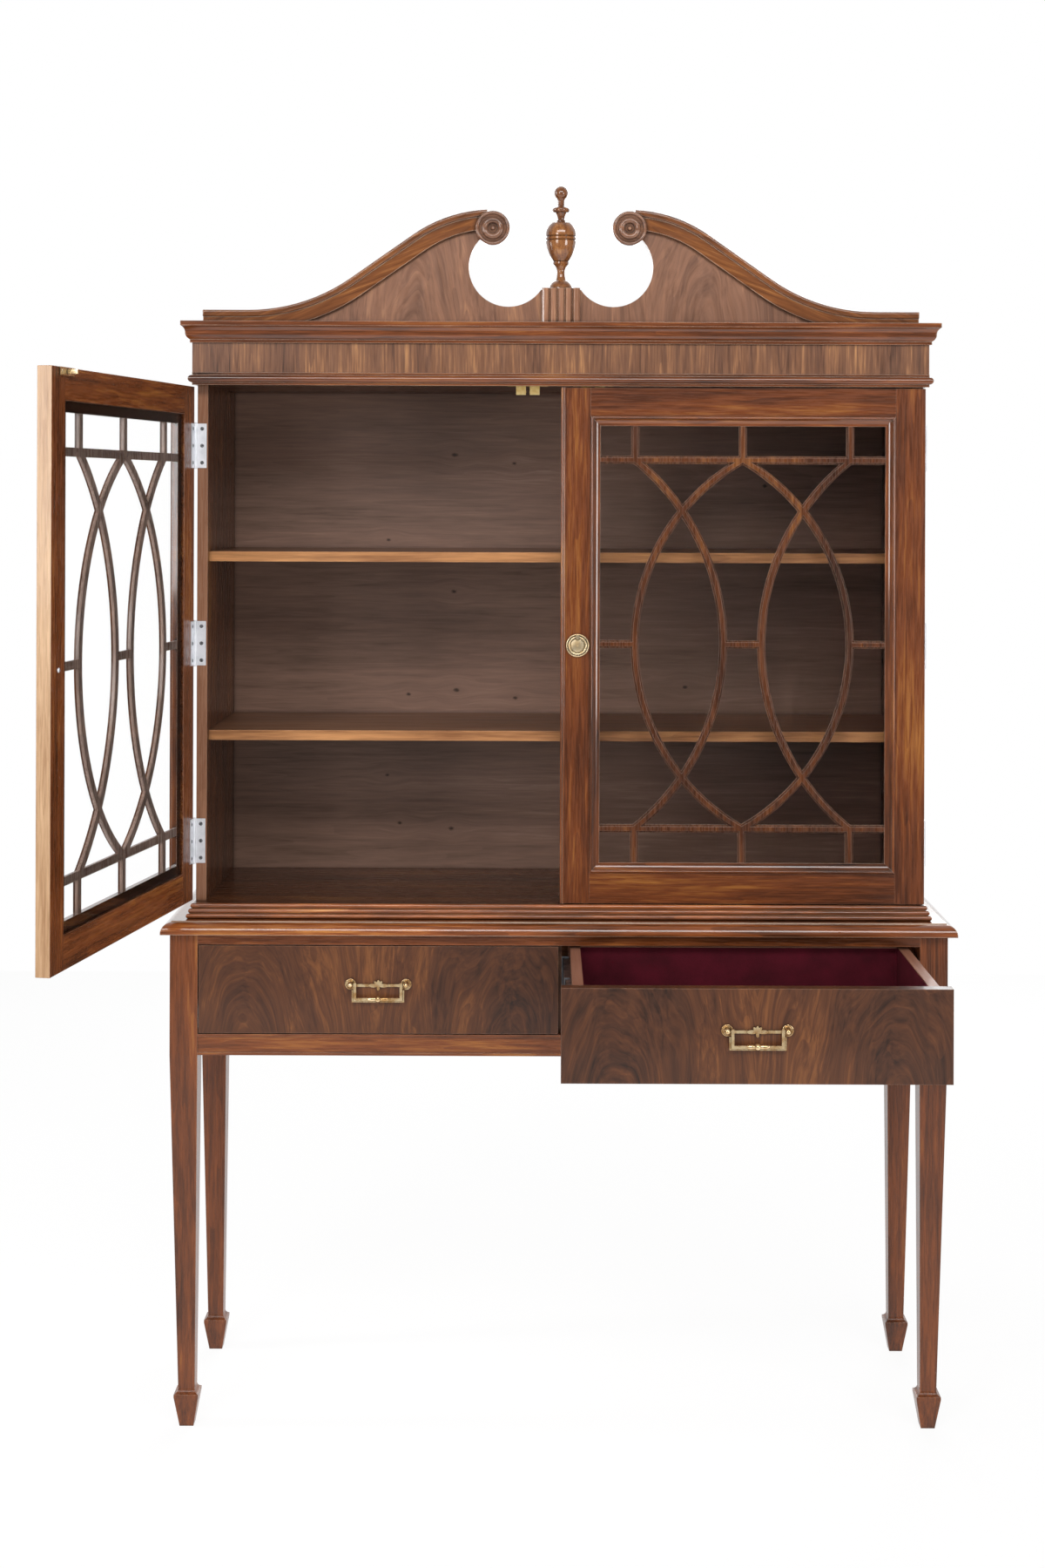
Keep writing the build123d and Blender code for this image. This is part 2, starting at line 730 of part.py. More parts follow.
ball_z = ball_seat_z + (finial_ball_radius**2 - finial_ball_seat_radius**2) ** 0.5
finial_top = (0, ball_z + finial_ball_radius)
finial_outline = (
    Polyline(finial_top, (0, 0), (finial_base_radius, 0), base_rim)
    + bowed(base_rim, finial_foot, finial_foot_swell)
    + bowed(finial_foot, stem, -finial_hollow / 3)
    + bowed(stem, collar, -finial_hollow)
    + Polyline(collar, (finial_collar_radius, urn_z), urn_foot)
    + bowed(urn_foot, (finial_urn_radius, band_z), finial_urn_swell)
    + Polyline(
        (finial_urn_radius, band_z),
        (groove_radius, band_z + finial_band_groove),
        (finial_urn_radius, band_z + 2 * finial_band_groove),
        (finial_urn_radius, upper_groove_z),
        (groove_radius, upper_groove_z + finial_band_groove),
        (finial_urn_radius, band_end_z),
    )
    + bowed((finial_urn_radius, band_end_z), shoulder, finial_urn_swell)
    + Polyline(shoulder, (finial_throat_radius, throat_z), (finial_throat_radius, throat_top_z), neck_foot)
    + bowed(neck_foot, ring_low, -finial_hollow / 3)
    + ThreePointArc(ring_low, finial_ring_crest, ring_high)
    + Polyline(
        ring_high,
        (finial_neck_radius, neck_low_z),
        (finial_neck_radius, neck_high_z),
        ball_seat,
    )
    + ThreePointArc(ball_seat, (finial_ball_radius, ball_z), finial_top)
)
urn = Pos(0, finial_y, finial_z) * turning(finial_outline.edges()) + dowel
save("urn_finial", urn)

# Doors, drawn closed on the right and mirrored for the left, which then swings open
hinge_x = case_half_width + hinge_axis_offset
hinge_y = case_front_y - door_gap / 2
door_left_x = door_meeting_gap / 2
opening_left = door_left_x + door_stile_width
opening_right = case_half_width - door_stile_width
opening_low = door_bottom_z + door_bottom_rail_height
opening_high = door_top_z - door_top_rail_height
pattern_x = (opening_left + opening_right) / 2
pattern_z = (opening_low + opening_high) / 2
door_middle_z = (door_bottom_z + door_top_z) / 2
hinge_heights = (door_bottom_z + hinge_end_distance, door_middle_z, door_top_z - hinge_end_distance)

swing_centre = Location((-hinge_x, hinge_y, 0))
left_swing = swing_centre * Location((0, 0, 0), (0, 0, -left_door_open_angle)) * swing_centre.inverse()


def save_door_piece(name, *pieces):
    """The right-hand piece as it is closed, and its twin on the open left door."""
    solids = [solid for piece in pieces for solid in piece.solids()]
    save(f"right_{name}", *solids)
    save(f"left_{name}", *[left_swing * left_of(solid) for solid in solids])


stiles = [
    board(left, left + door_stile_width, door_front_y, door_back_y, door_bottom_z, door_top_z)
    for left in (door_left_x, opening_right)
]
rails = [
    board(opening_left, opening_right, door_front_y, door_back_y, low, high)
    for low, high in ((door_bottom_z, opening_low), (opening_high, door_top_z))
]
save_door_piece("door_frame", *stiles, *rails)

# Glazing moulding: a bead proud of the frame, a quirk, and a hollow down to the glass
bead_mid = (glazing_bead_width / 2, glazing_bead_proud)
hollow_end = glazing_width - glazing_flat
glazing_section = (
    Polyline(
        (0, 0), (0, -glazing_depth), (glazing_width, -glazing_depth), (glazing_width, -glazing_lip),
        (hollow_end, -glazing_lip),
    )
    + SagittaArc((hollow_end, -glazing_lip), (glazing_bead_width, -glazing_quirk), glazing_quirk)
    + Line((glazing_bead_width, -glazing_quirk), (glazing_bead_width, 0))
    + ThreePointArc((glazing_bead_width, 0), bead_mid, (0, 0))
).edges()
opening_half_width = (opening_right - opening_left) / 2
opening_half_height = (opening_high - opening_low) / 2


def glazing_strip(turn, half_run, half_reach):
    """One strip of the moulding, mitred at both ends, on the side of the opening given by the turn."""
    strip_plane = Plane((0, -half_reach, 0), x_dir=(0, 1, 0), z_dir=(1, 0, 0))
    strip = prism(glazing_section, strip_plane, half_run)
    inner_run = half_run - glazing_width
    inner_reach = half_reach - glazing_width
    mitre = Polyline(
        (-half_run, -half_reach),
        (half_run, -half_reach),
        (inner_run, -inner_reach),
        (-inner_run, -inner_reach),
        close=True,
    )
    strip = strip & prism(mitre.edges(), Plane.XY, beyond)
    return facing_front(pattern_x, door_front_y, pattern_z) * Rot(0, 0, turn) * strip


glazing = [glazing_strip(turn, opening_half_width, opening_half_height) for turn in (0, 180)]
glazing += [glazing_strip(turn, opening_half_height, opening_half_width) for turn in (90, 270)]
save_door_piece("glazing_moulding", *glazing)

pane_y = door_front_y + glazing_depth
pane = board(
    opening_left + glass_clearance,
    opening_right - glass_clearance,
    pane_y,
    pane_y + glass_thickness,
    opening_low + glass_clearance,
    opening_high - glass_clearance,
)
save_door_piece("door_glass", pane)

# Glazing bars: two cross bars, short posts and ties, and four arcs that cross as pointed ovals
sight_half_width = opening_half_width - glazing_width
sight_half_height = opening_half_height - glazing_width
cross_height = sight_half_height - bar_post_length
belly_x = sight_half_width - bar_side_tie
inner_belly_x = bar_middle_tie / 2


def bar_pattern(width):
    """The whole pattern of bars at one width, centred on the opening."""
    pattern = Rectangle(bar_middle_tie, width)
    for side in (-1, 1):
        pattern += Pos(0, side * cross_height) * Rectangle(2 * sight_half_width, width)
        pattern += Pos(side * (belly_x + bar_side_tie / 2), 0) * Rectangle(bar_side_tie, width)
        for post_x in (-belly_x, 0, belly_x):
            post_y = side * (cross_height + bar_post_length / 2)
            pattern += Pos(post_x, post_y) * Rectangle(width, bar_post_length)
        for foot_x, arc_x in ((0, belly_x), (belly_x, inner_belly_x)):
            arc = ThreePointArc(
                (side * foot_x, cross_height), (side * arc_x, 0), (side * foot_x, -cross_height)
            )
            pattern += trace(arc, width)
    return pattern


bar_plane = facing_front(pattern_x, pane_y, pattern_z)
rib_plane = facing_front(pattern_x, pane_y - bar_flange_depth, pattern_z)
glazing_bars = extrude(bar_plane * bar_pattern(bar_width), bar_flange_depth, dir=bar_plane.z_dir)
glazing_bars += extrude(
    rib_plane * bar_pattern(bar_rib_width), bar_depth - bar_flange_depth, dir=rib_plane.z_dir
)
save_door_piece("glazing_bars", glazing_bars)

# Double-reed bead along the meeting edge of the right door
reed_radius = meeting_bead_width / 4
reed_valley = (door_left_x + 2 * reed_radius, meeting_bead_valley)
bead_end = (door_left_x + meeting_bead_width, 0)
bead_sight = (
    Line((door_left_x, 0), bead_end)
    + ThreePointArc((door_left_x, 0), (door_left_x + reed_radius, meeting_bead_proud), reed_valley)
    + ThreePointArc(reed_valley, (door_left_x + 3 * reed_radius, meeting_bead_proud), bead_end)
)
bead_plane = Plane((0, door_front_y, door_bottom_z), x_dir=(1, 0, 0), z_dir=(0, 0, -1))
bead_face = bead_plane * make_face(bead_sight.edges())
save("meeting_bead", extrude(bead_face, door_top_z - door_bottom_z, dir=(0, 0, 1)))

# Butt hinges: knuckles alternate between the two leaves on one pin
knuckle_length = hinge_height / hinge_knuckles
barrel_bore = hinge_pin_radius + hinge_pin_clearance


def hinge_leaf(centre_z, face_y, towards, knuckles):
    """One leaf on the face of the wood at face_y, its thickness going towards the gap."""
    leaf_y = sorted((face_y, face_y + towards * hinge_leaf_thickness))
    low = centre_z - hinge_height / 2
    leaf = board(case_half_width - hinge_leaf_width, case_half_width, *leaf_y, low, low + hinge_height)
    for knuckle in knuckles:
        knuckle_low = low + knuckle * knuckle_length + hinge_knuckle_gap / 2
        knuckle_high = low + (knuckle + 1) * knuckle_length - hinge_knuckle_gap / 2
        leaf += board(case_half_width, hinge_x, *leaf_y, knuckle_low, knuckle_high)
        leaf += Pos(hinge_x, hinge_y, (knuckle_low + knuckle_high) / 2) * Cylinder(
            hinge_barrel_radius, knuckle_high - knuckle_low
        )
    return leaf - Pos(hinge_x, hinge_y, centre_z) * Cylinder(barrel_bore, 2 * hinge_height)


def hinge_pin(centre_z):
    """A pin with a low button at both ends of the barrel."""
    barrel_end = hinge_height / 2 - hinge_knuckle_gap / 2
    head_middle = barrel_end + hinge_pin_head / 2
    pin = Cylinder(hinge_pin_radius, 2 * barrel_end)
    for end in (-1, 1):
        pin += Pos(0, 0, end * head_middle) * Cylinder(hinge_pin_head_radius, hinge_pin_head)
    return Pos(hinge_x, hinge_y, centre_z) * pin


case_leaves = []
door_leaves = []
for centre_z in hinge_heights:
    case_leaves += pair(hinge_leaf(centre_z, case_front_y, -1, range(0, hinge_knuckles, 2)))
    case_leaves += pair(hinge_pin(centre_z))
    door_leaves.append(hinge_leaf(centre_z, door_back_y, 1, range(1, hinge_knuckles, 2)))
save("case_hinge_leaves", *case_leaves)
save_door_piece("door_hinge_leaves", *door_leaves)

# Ring pulls: a rimmed plate with a dome, and a ring hung from a drilled lug
pull_x = door_left_x + door_stile_width / 2 + meeting_bead_width / 2
pull_plane = facing_front(pull_x, door_front_y, door_middle_z)
plate_rim_in = pull_plate_radius - pull_rim_width
plate_edge = (pull_plate_radius, pull_plate_thickness)
plate_crest = (pull_plate_radius - pull_rim_width / 2, pull_plate_thickness + pull_rim_width / 2)
plate_outline = (
    Polyline((0, pull_dome_height), (0, 0), (pull_plate_radius, 0), plate_edge)
    + ThreePointArc(plate_edge, plate_crest, (plate_rim_in, pull_plate_thickness))
    + Line((plate_rim_in, pull_plate_thickness), (pull_dome_radius, pull_plate_thickness))
    + TangentArc((0, pull_dome_height), (pull_dome_radius, pull_plate_thickness), tangent=(1, 0))
)
ring_lift = pull_plate_thickness + pull_wire_radius + pull_ring_lift
ring_sag = pull_ring_radius - (pull_ring_radius**2 - pull_lug_radius**2) ** 0.5
lug_bore = pull_wire_radius + ring_sag + pull_lug_clearance
lug_length = ring_lift + lug_bore + pull_lug_wall
pull_lug = Pos(0, pull_ring_radius, lug_length / 2) * Cylinder(pull_lug_radius, lug_length)
ring_way = Pos(0, pull_ring_radius, ring_lift) * Rot(0, 90, 0) * Cylinder(lug_bore, 2 * pull_lug_radius)
pull_plate = turning(plate_outline.edges()) + pull_lug - ring_way
save_door_piece("pull_plate", pull_plane * pull_plate)
pull_ring = Pos(0, 0, ring_lift) * Torus(pull_ring_radius, pull_wire_radius)
save_door_piece("pull_ring", pull_plane * pull_ring)

# Ball catches under the case top, and the door tongues that pass between the balls
catch_y = case_front_y + catch_setback
catch_back_y = catch_y + catch_plate_width
catch_middle_y = (catch_y + catch_back_y) / 2
catch_low = ceiling_z - catch_plate_thickness - catch_block_height
tongue_z = door_top_z - strike_height / 2
catch_body = board(
    catch_x - catch_plate_length / 2,
    catch_x + catch_plate_length / 2,
    catch_y,
    catch_back_y,
    ceiling_z - catch_plate_thickness,
    ceiling_z,
)
for side in (-1, 1):
    mouth_x = catch_x + side * catch_mouth / 2
    block_x = sorted((mouth_x, mouth_x + side * catch_block_length))
    catch_body += board(*block_x, catch_y, catch_back_y, catch_low, ceiling_z - catch_plate_thickness)
    ball_x = catch_x + side * (catch_mouth / 2 + catch_ball_radius - catch_ball_proud)
    catch_body += Pos(ball_x, catch_middle_y, tongue_z) * Rot(0, 90, 0) * Sphere(catch_ball_radius)
save("ball_catches", *pair(catch_body))

strike = board(
    catch_x - strike_length / 2,
    catch_x + strike_length / 2,
    door_back_y,
    door_back_y + strike_thickness,
    door_top_z - strike_height,
    door_top_z,
)
strike += board(
    catch_x - tongue_thickness / 2,
    catch_x + tongue_thickness / 2,
    door_back_y,
    door_back_y + tongue_reach,
    tongue_z - tongue_height / 2,
    tongue_z + tongue_height / 2,
)
save_door_piece("catch_strike", strike)

# Drawers, drawn shut on the right and mirrored for the left; the right one is pulled out
front_left_x = drawer_gap / 2
front_right_x = leg_inner_x - drawer_gap
front_back_y = front_y + drawer_front_thickness
box_left_x = divider_thickness / 2 + slide_gap
box_right_x = batten_x - slide_gap
box_low = drawer_bottom_z + drawer_box_lift
box_high = drawer_top_z - drawer_box_drop
box_back_y = front_back_y + drawer_box_length
inner_left_x = box_left_x + drawer_side_thickness
inner_right_x = box_right_x - drawer_side_thickness
inner_back_y = box_back_y - drawer_back_thickness
panel_low = box_low + drawer_bottom_rise
panel_high = panel_low + drawer_bottom_thickness


def save_drawer_piece(name, *pieces, travel=1.0):
    """The left-hand piece with its drawer shut, and the right-hand one with its drawer pulled."""
    solids = [solid for piece in pieces for solid in piece.solids()]
    save(f"left_{name}", *[left_of(solid) for solid in solids])
    save(f"right_{name}", *[Pos(0, -right_drawer_pull * travel, 0) * solid for solid in solids])


bottom_panel = board(
    inner_left_x - drawer_groove,
    inner_right_x + drawer_groove,
    front_back_y - drawer_groove,
    box_back_y,
    panel_low,
    panel_high,
)
front_board = board(front_left_x, front_right_x, front_y, front_back_y, drawer_bottom_z, drawer_top_z)
save_drawer_piece("drawer_front", front_board - bottom_panel)
drawer_sides = [
    board(left, left + drawer_side_thickness, front_back_y, box_back_y, box_low, box_high) - bottom_panel
    for left in (box_left_x, inner_right_x)
]
drawer_back = board(inner_left_x, inner_right_x, inner_back_y, box_back_y, panel_high, box_high)
save_drawer_piece("drawer_box", *drawer_sides, drawer_back, bottom_panel)
lining_high = box_high - lining_drop
lining = board(inner_left_x, inner_right_x, front_back_y, inner_back_y, panel_high, lining_high) - board(
    inner_left_x + lining_thickness,
    inner_right_x - lining_thickness,
    front_back_y + lining_thickness,
    inner_back_y - lining_thickness,
    panel_high + lining_thickness,
    box_high,
)
save_drawer_piece("drawer_lining", lining)

# Slides: three nested channels on each side of a drawer
slide_front_y = front_back_y + slide_front_setback
slide_back_y = slide_front_y + slide_length
middle_web = slide_thickness + slide_web_gap
outer_half_height = slide_height / 2
middle_half_height = outer_half_height - slide_thickness - slide_running_gap
inner_half_height = middle_half_height - slide_thickness - slide_running_gap


def channel(x_web, x_lips, half_height):
    """A channel along the drawer, with its web at one X and its lips reaching to another."""
    wall = slide_thickness if x_lips > x_web else -slide_thickness
    hollow_half = half_height - slide_thickness
    outer_x = sorted((x_web, x_lips))
    hollow_x = sorted((x_web + wall, x_lips + wall))
    outer = board(*outer_x, slide_front_y, slide_back_y, slide_z - half_height, slide_z + half_height)
    hollow = board(*hollow_x, slide_front_y, slide_back_y, slide_z - hollow_half, slide_z + hollow_half)
    return outer - hollow


outer_members = []
middle_members = []
inner_members = []
for fixed_x, towards in ((batten_x, -1), (divider_thickness / 2, 1)):
    drawer_x = fixed_x + towards * slide_gap
    lips_x = drawer_x - towards * middle_web
    outer_members.append(channel(fixed_x, lips_x, outer_half_height))
    middle_members.append(channel(fixed_x + towards * middle_web, lips_x, middle_half_height))
    inner_members.append(channel(drawer_x, fixed_x + towards * 2 * middle_web, inner_half_height))
save("slide_channels", *[solid for member in outer_members for solid in pair(member)])
save_drawer_piece("slide_runners", *inner_members)
save_drawer_piece("slide_middles", *middle_members, travel=0.5)

# Handles, drawn on the front's face: x across, y up, z out from the wood
handle_x = (front_left_x + front_right_x) / 2
handle_z = (drawer_bottom_z + drawer_top_z) / 2 + handle_rise
handle_plane = facing_front(handle_x, front_y, handle_z)
post_x = post_spacing / 2
post_rim_in = post_plate_radius - post_rim_width
dish_z = post_plate_thickness - post_rim_width / 2
post_rim_crest = ((post_plate_radius + post_rim_in) / 2, post_plate_thickness)
post_neck_top = (post_neck_radius, post_reach)
post_outline = (
    Polyline((0, post_reach), (0, 0), (post_plate_radius, 0), (post_plate_radius, dish_z))
    + ThreePointArc((post_plate_radius, dish_z), post_rim_crest, (post_rim_in, dish_z))
    + Polyline((post_rim_in, dish_z), (post_neck_radius, dish_z), post_neck_top, (0, post_reach))
)
post = turning(post_outline.edges()) + Pos(0, 0, post_reach) * Sphere(post_ball_radius)
handle_bar = Box(post_spacing, handle_bar_height, handle_bar_thickness)
handle_bar = Pos(0, 0, handle_bar_thickness / 2) * handle_bar
petals = Pos(0, -palmette_drop / 2) * Ellipse(palmette_petal_width / 2, palmette_drop / 2)
for turn in (-palmette_spread, 0, palmette_spread):
    petals += Rot(0, 0, turn) * Pos(0, palmette_petal_length / 2) * Ellipse(
        palmette_petal_width / 2, palmette_petal_length / 2
    )
leaf_half = palmette_leaf_length / 2
for side in (-1, 1):
    petals += Pos(side * leaf_half, 0) * Ellipse(leaf_half, palmette_leaf_width / 2)
palmette = extrude(petals, palmette_thickness, dir=(0, 0, 1))
handle_plate = Pos(0, -handle_bar_drop, 0) * (handle_bar + palmette)
for side in (-1, 1):
    handle_plate += Pos(side * post_x, 0, 0) * post
frame_out = bail_width / 2
rib_in = frame_out - bail_frame_width
rib_out = rib_in + bail_rib_width
pin_end = post_x - post_ball_radius + bail_pin_length
pin_bore = Rot(0, 90, 0) * Cylinder(bail_pin_radius + bail_pin_clearance, 2 * post_x)
handle_plate -= Pos(0, 0, post_reach) * pin_bore
save_drawer_piece("handle_plate", handle_plane * handle_plate)

# Bails: a mitred frame with a raised rib, a knop between two leaves, and pins in the ball posts
frame_low = -bail_drop
bar_high = frame_low + bail_frame_width
rib_top = bail_pin_radius + bail_rib_width / 2


def drop_frame(outer_x, top, low):
    """The outline of a frame that is open at the top, with its inner edge along the bail's opening."""
    return Polyline(
        (-outer_x, top), (-outer_x, low), (outer_x, low), (outer_x, top),
        (rib_in, top), (rib_in, bar_high), (-rib_in, bar_high), (-rib_in, top), close=True,
    ).edges()


rib_low = bar_high - bail_rib_width
bail_plane = Plane((0, 0, -bail_rib_depth / 2))
bail = slab(drop_frame(frame_out, -bail_frame_start, frame_low), bail_plane, bail_frame_depth)
bail += slab(drop_frame(rib_out, rib_top, rib_low), bail_plane, bail_rib_depth)
leaf_end = bail_knop_radius + bail_leaf_length
leaf_swell = (bail_leaf_radius, (bail_knop_radius + leaf_end) / 2)
leaf_outline = Polyline(
    (bail_leaf_tip_radius, leaf_end), (0, leaf_end), (0, 0), (bail_leaf_tip_radius, 0)
) + ThreePointArc((bail_leaf_tip_radius, 0), leaf_swell, (bail_leaf_tip_radius, leaf_end))
bar_middle = (rib_low + bar_high) / 2
for side in (-1, 1):
    bail += Pos(0, bar_middle, 0) * Rot(0, side * 90, 0) * turning(leaf_outline.edges())
    bail_pin = Rot(0, 90, 0) * Cylinder(bail_pin_radius, pin_end - rib_in)
    bail += Pos(side * (rib_in + pin_end) / 2, 0, 0) * bail_pin
bail += Pos(0, bar_middle, 0) * Rot(0, 90, 0) * Sphere(bail_knop_radius)
save_drawer_piece("bail", handle_plane * Pos(0, 0, post_reach) * bail)
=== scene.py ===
from math import radians

import bmesh
import bpy
from mathutils import Matrix, Vector


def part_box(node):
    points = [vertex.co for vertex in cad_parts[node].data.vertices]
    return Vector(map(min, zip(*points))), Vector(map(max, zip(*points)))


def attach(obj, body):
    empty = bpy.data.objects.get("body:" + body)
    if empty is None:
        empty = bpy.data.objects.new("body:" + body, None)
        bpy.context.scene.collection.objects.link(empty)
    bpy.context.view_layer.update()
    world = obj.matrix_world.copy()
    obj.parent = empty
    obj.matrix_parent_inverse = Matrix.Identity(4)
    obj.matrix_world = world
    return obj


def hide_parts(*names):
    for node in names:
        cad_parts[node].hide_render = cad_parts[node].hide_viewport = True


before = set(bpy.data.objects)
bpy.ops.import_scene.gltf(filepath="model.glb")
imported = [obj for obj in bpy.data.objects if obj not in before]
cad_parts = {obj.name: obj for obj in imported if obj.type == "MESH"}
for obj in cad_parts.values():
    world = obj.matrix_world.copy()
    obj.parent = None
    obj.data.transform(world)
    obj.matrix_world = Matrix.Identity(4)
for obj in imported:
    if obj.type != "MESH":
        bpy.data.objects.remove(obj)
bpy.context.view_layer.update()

# Legs: four square tapered posts with spade feet, each cut from one length of walnut with the grain
# running down it. They were stained, French polished and rubbed back a little along the arrises, whose
# pale lines are painted highlight as well as that wear.


def linear(hex_colour):
    """An sRGB hex colour as linear red, green, blue and alpha."""
    parts = [int(hex_colour[i:i + 2], 16) / 255 for i in (1, 3, 5)]
    return [*(part / 12.92 if part <= 0.04045 else ((part + 0.055) / 1.055) ** 2.4 for part in parts), 1.0]


def add(tree, kind, inputs=(), **settings):
    """A shader node with its settings; every input is a value or the socket that feeds it."""
    node = tree.nodes.new("ShaderNode" + kind)
    for name, value in settings.items():
        setattr(node, name, value)
    for name, value in dict(inputs).items():
        if isinstance(value, bpy.types.NodeSocket):
            tree.links.new(value, node.inputs[name])
        else:
            node.inputs[name].default_value = value
    return node


def dress(material, *nodes):
    """Gives CAD nodes their finish."""
    for name in nodes:
        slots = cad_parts[name].data.materials
        slots.clear()
        slots.append(material)


# The figure is drawn out along the grain, about 18 times. The stain lies in clouds of 250 mm, growth rings
# in bands of 48 mm, streaks are 6.5 mm wide, and the grain wanders within 90 mm. The pores of walnut are
# about a fifth of a millimetre wide and too fine to show, so they are drawn as fibres of 2.4 mm.
GRAIN_STRETCH = 0.055
ALONG = {
    "X": (GRAIN_STRETCH, 1, 1),
    "Y": (1, GRAIN_STRETCH, 1),
    "Z": (1, 1, GRAIN_STRETCH),
}
CLOUD = 0.25
RING_BAND = 0.048
RINGS_IN_BAND = 9.0
STREAK = 0.0065
WANDER = 0.09
FIBRE = 0.0024
ARRIS = 0.0013
SHELLAC_IOR = 1.46
SHADE_AND_OLD_POLISH = "#1c0e07"
POLISHED_WALNUT = ("#2e170c", "#603217", "#834621", "#af6f34")


def wood(
    name,
    grain,
    tones=POLISHED_WALNUT,
    crossing=None,
    arches=None,
    turned=None,
    lean=None,
    pale=None,
    knots=(),
    gloss=0.22,
    coat=0.10,
    softness=0.34,
    streak_width=STREAK,
    sway=0.014,
    arris=ARRIS,
    edge="#d9ae93",
    wear_and_highlight=0.9,
    shade_and_polish=0.45,
    pore_depth=0.07,
):
    """Stained and polished wood. Polished walnut shows a brown figure with gold streaks under a soft gloss,
    darkened in the corners by painted shade and old polish, and pale along the arrises with painted
    highlight and wear.

    tones run from dark to light, and softness is how gently they pass into each other.
    crossing is the boards that run another way: their grain, and the centre, direction and reach that tell
    them from the rest. arches is the flame of a veneer: its middle, spacing and rise.
    turned brings an open door back to its closed place, so that the grain has turned with it.
    lean is the slope of the grain, the same on both sides of the middle.
    pale is a part that took less stain: its two tones, and the direction and reach that tell it.
    knots are the places and sizes of dark pins that the grain bends round.
    arris is how far the pale arrises reach, edge is their colour and the wear and highlight their strength;
    these pale lines are painted highlight as well as wear. The shade and polish is how much painted shade
    and old polish darken the corners."""
    material = bpy.data.materials.new(name)
    material.use_nodes = True
    tree = material.node_tree
    place = add(tree, "TexCoord").outputs["Object"]
    if turned:
        shift, turn = turned
        place = add(tree, "Mapping", {"Vector": place, "Location": shift, "Rotation": turn}).outputs[0]
    if lean:
        place = add(tree, "VectorMath", {0: place}, operation="ABSOLUTE").outputs[0]
        place = add(tree, "Mapping", {"Vector": place, "Rotation": (0, lean, 0)}).outputs[0]
    plank = add(tree, "VectorMath", {0: place, 1: ALONG[grain]}, operation="MULTIPLY").outputs[0]
    if crossing:
        other_grain, centre, direction, reach = crossing
        other = add(tree, "VectorMath", {0: place, 1: ALONG[other_grain]}, operation="MULTIPLY").outputs[0]
        away = add(tree, "VectorMath", {0: place, 1: centre}, operation="SUBTRACT").outputs[0]
        away = add(tree, "VectorMath", {0: away}, operation="ABSOLUTE").outputs[0]
        away = add(tree, "VectorMath", {0: away, 1: direction}, operation="DOT_PRODUCT").outputs["Value"]
        beyond = add(tree, "Math", {0: away, 1: reach}, operation="GREATER_THAN").outputs[0]
        plank = add(tree, "Mix", {0: beyond, 4: plank, 5: other}, data_type="VECTOR").outputs[1]
    bends = plank
    if arches:
        middle, spacing, rise = arches
        away = add(tree, "VectorMath", {0: place, 1: middle}, operation="SUBTRACT").outputs[0]
        away = add(tree, "VectorMath", {0: away}, operation="ABSOLUTE").outputs[0]
        away = add(tree, "VectorMath", {0: away, 1: (spacing, 0, 0)}, operation="SUBTRACT").outputs[0]
        away = add(tree, "VectorMath", {0: away, 1: (1, 0, rise)}, operation="MULTIPLY").outputs[0]
        arch = add(tree, "VectorMath", {0: away}, operation="LENGTH").outputs["Value"]
        height = add(tree, "SeparateXYZ", {0: plank}).outputs["Z"]
        plank = add(tree, "CombineXYZ", {"X": arch, "Z": height}).outputs[0]
        upright_bend = 0.3
        bends = add(tree, "VectorMath", {0: place, 1: (1, 1, upright_bend)}, operation="MULTIPLY").outputs[0]
    wander = add(tree, "TexNoise", {"Vector": bends, "Scale": 1 / WANDER, "Detail": 2.0}).outputs["Color"]
    plank = add(
        tree, "VectorMath", {0: wander, 1: (sway, sway, sway), 2: plank}, operation="MULTIPLY_ADD"
    ).outputs[0]
    knot_oval = (0.7, 0, 1)
    knot_reach = 0.030
    knot_bend = 0.8
    knot_dark = 0.8
    dark = None
    for knot, size in knots:
        away = add(tree, "VectorMath", {0: place, 1: knot}, operation="SUBTRACT").outputs[0]
        oval = add(tree, "VectorMath", {0: away, 1: knot_oval}, operation="MULTIPLY").outputs[0]
        near = add(tree, "VectorMath", {0: oval}, operation="LENGTH").outputs["Value"]
        bend = add(
            tree, "MapRange", {"Value": near, "From Max": knot_reach, "To Min": -knot_bend, "To Max": 0.0}
        ).outputs[0]
        rise = add(tree, "VectorMath", {0: away, 1: (0, 0, 1)}, operation="MULTIPLY").outputs[0]
        plank = add(tree, "VectorMath", {0: rise, 1: bend, 2: plank}, operation="MULTIPLY_ADD").outputs[0]
        ragged = add(tree, "TexNoise", {"Vector": place, "Scale": 1 / size, "Detail": 2.0}).outputs[0]
        ragged = add(tree, "Math", {0: ragged, 1: size, 2: near}, operation="MULTIPLY_ADD").outputs[0]
        rim = {"From Min": size * 0.6, "From Max": size * 2.0, "To Min": knot_dark, "To Max": 0.0}
        pin = add(tree, "MapRange", {"Value": ragged, **rim}).outputs[0]
        dark = add(tree, "Math", {0: dark, 1: pin}, operation="ADD").outputs[0] if dark else pin
    band = add(tree, "TexNoise", {"Vector": plank, "Scale": 1 / RING_BAND, "Detail": 2.0}).outputs[0]
    rings = add(tree, "Math", {0: band, 1: RINGS_IN_BAND}, operation="MULTIPLY").outputs[0]
    rings = add(tree, "Math", {0: rings}, operation="FRACT").outputs[0]
    streak = add(
        tree, "TexNoise", {"Vector": plank, "Scale": 1 / streak_width, "Detail": 4.0, "Roughness": 0.62}
    ).outputs[0]
    fibre = add(tree, "TexNoise", {"Vector": plank, "Scale": 1 / FIBRE, "Detail": 2.0}).outputs[0]
    cloud = add(tree, "TexNoise", {"Vector": place, "Scale": 1 / CLOUD, "Detail": 2.0}).outputs[0]
    shares = ((rings, 0.12), (cloud, 0.50), (streak, 0.70), (band, 0.75), (fibre, 0.40))
    shade = 0.0
    for pattern, share in shares:
        shade = add(tree, "Math", {0: pattern, 1: share, 2: shade}, operation="MULTIPLY_ADD").outputs[0]
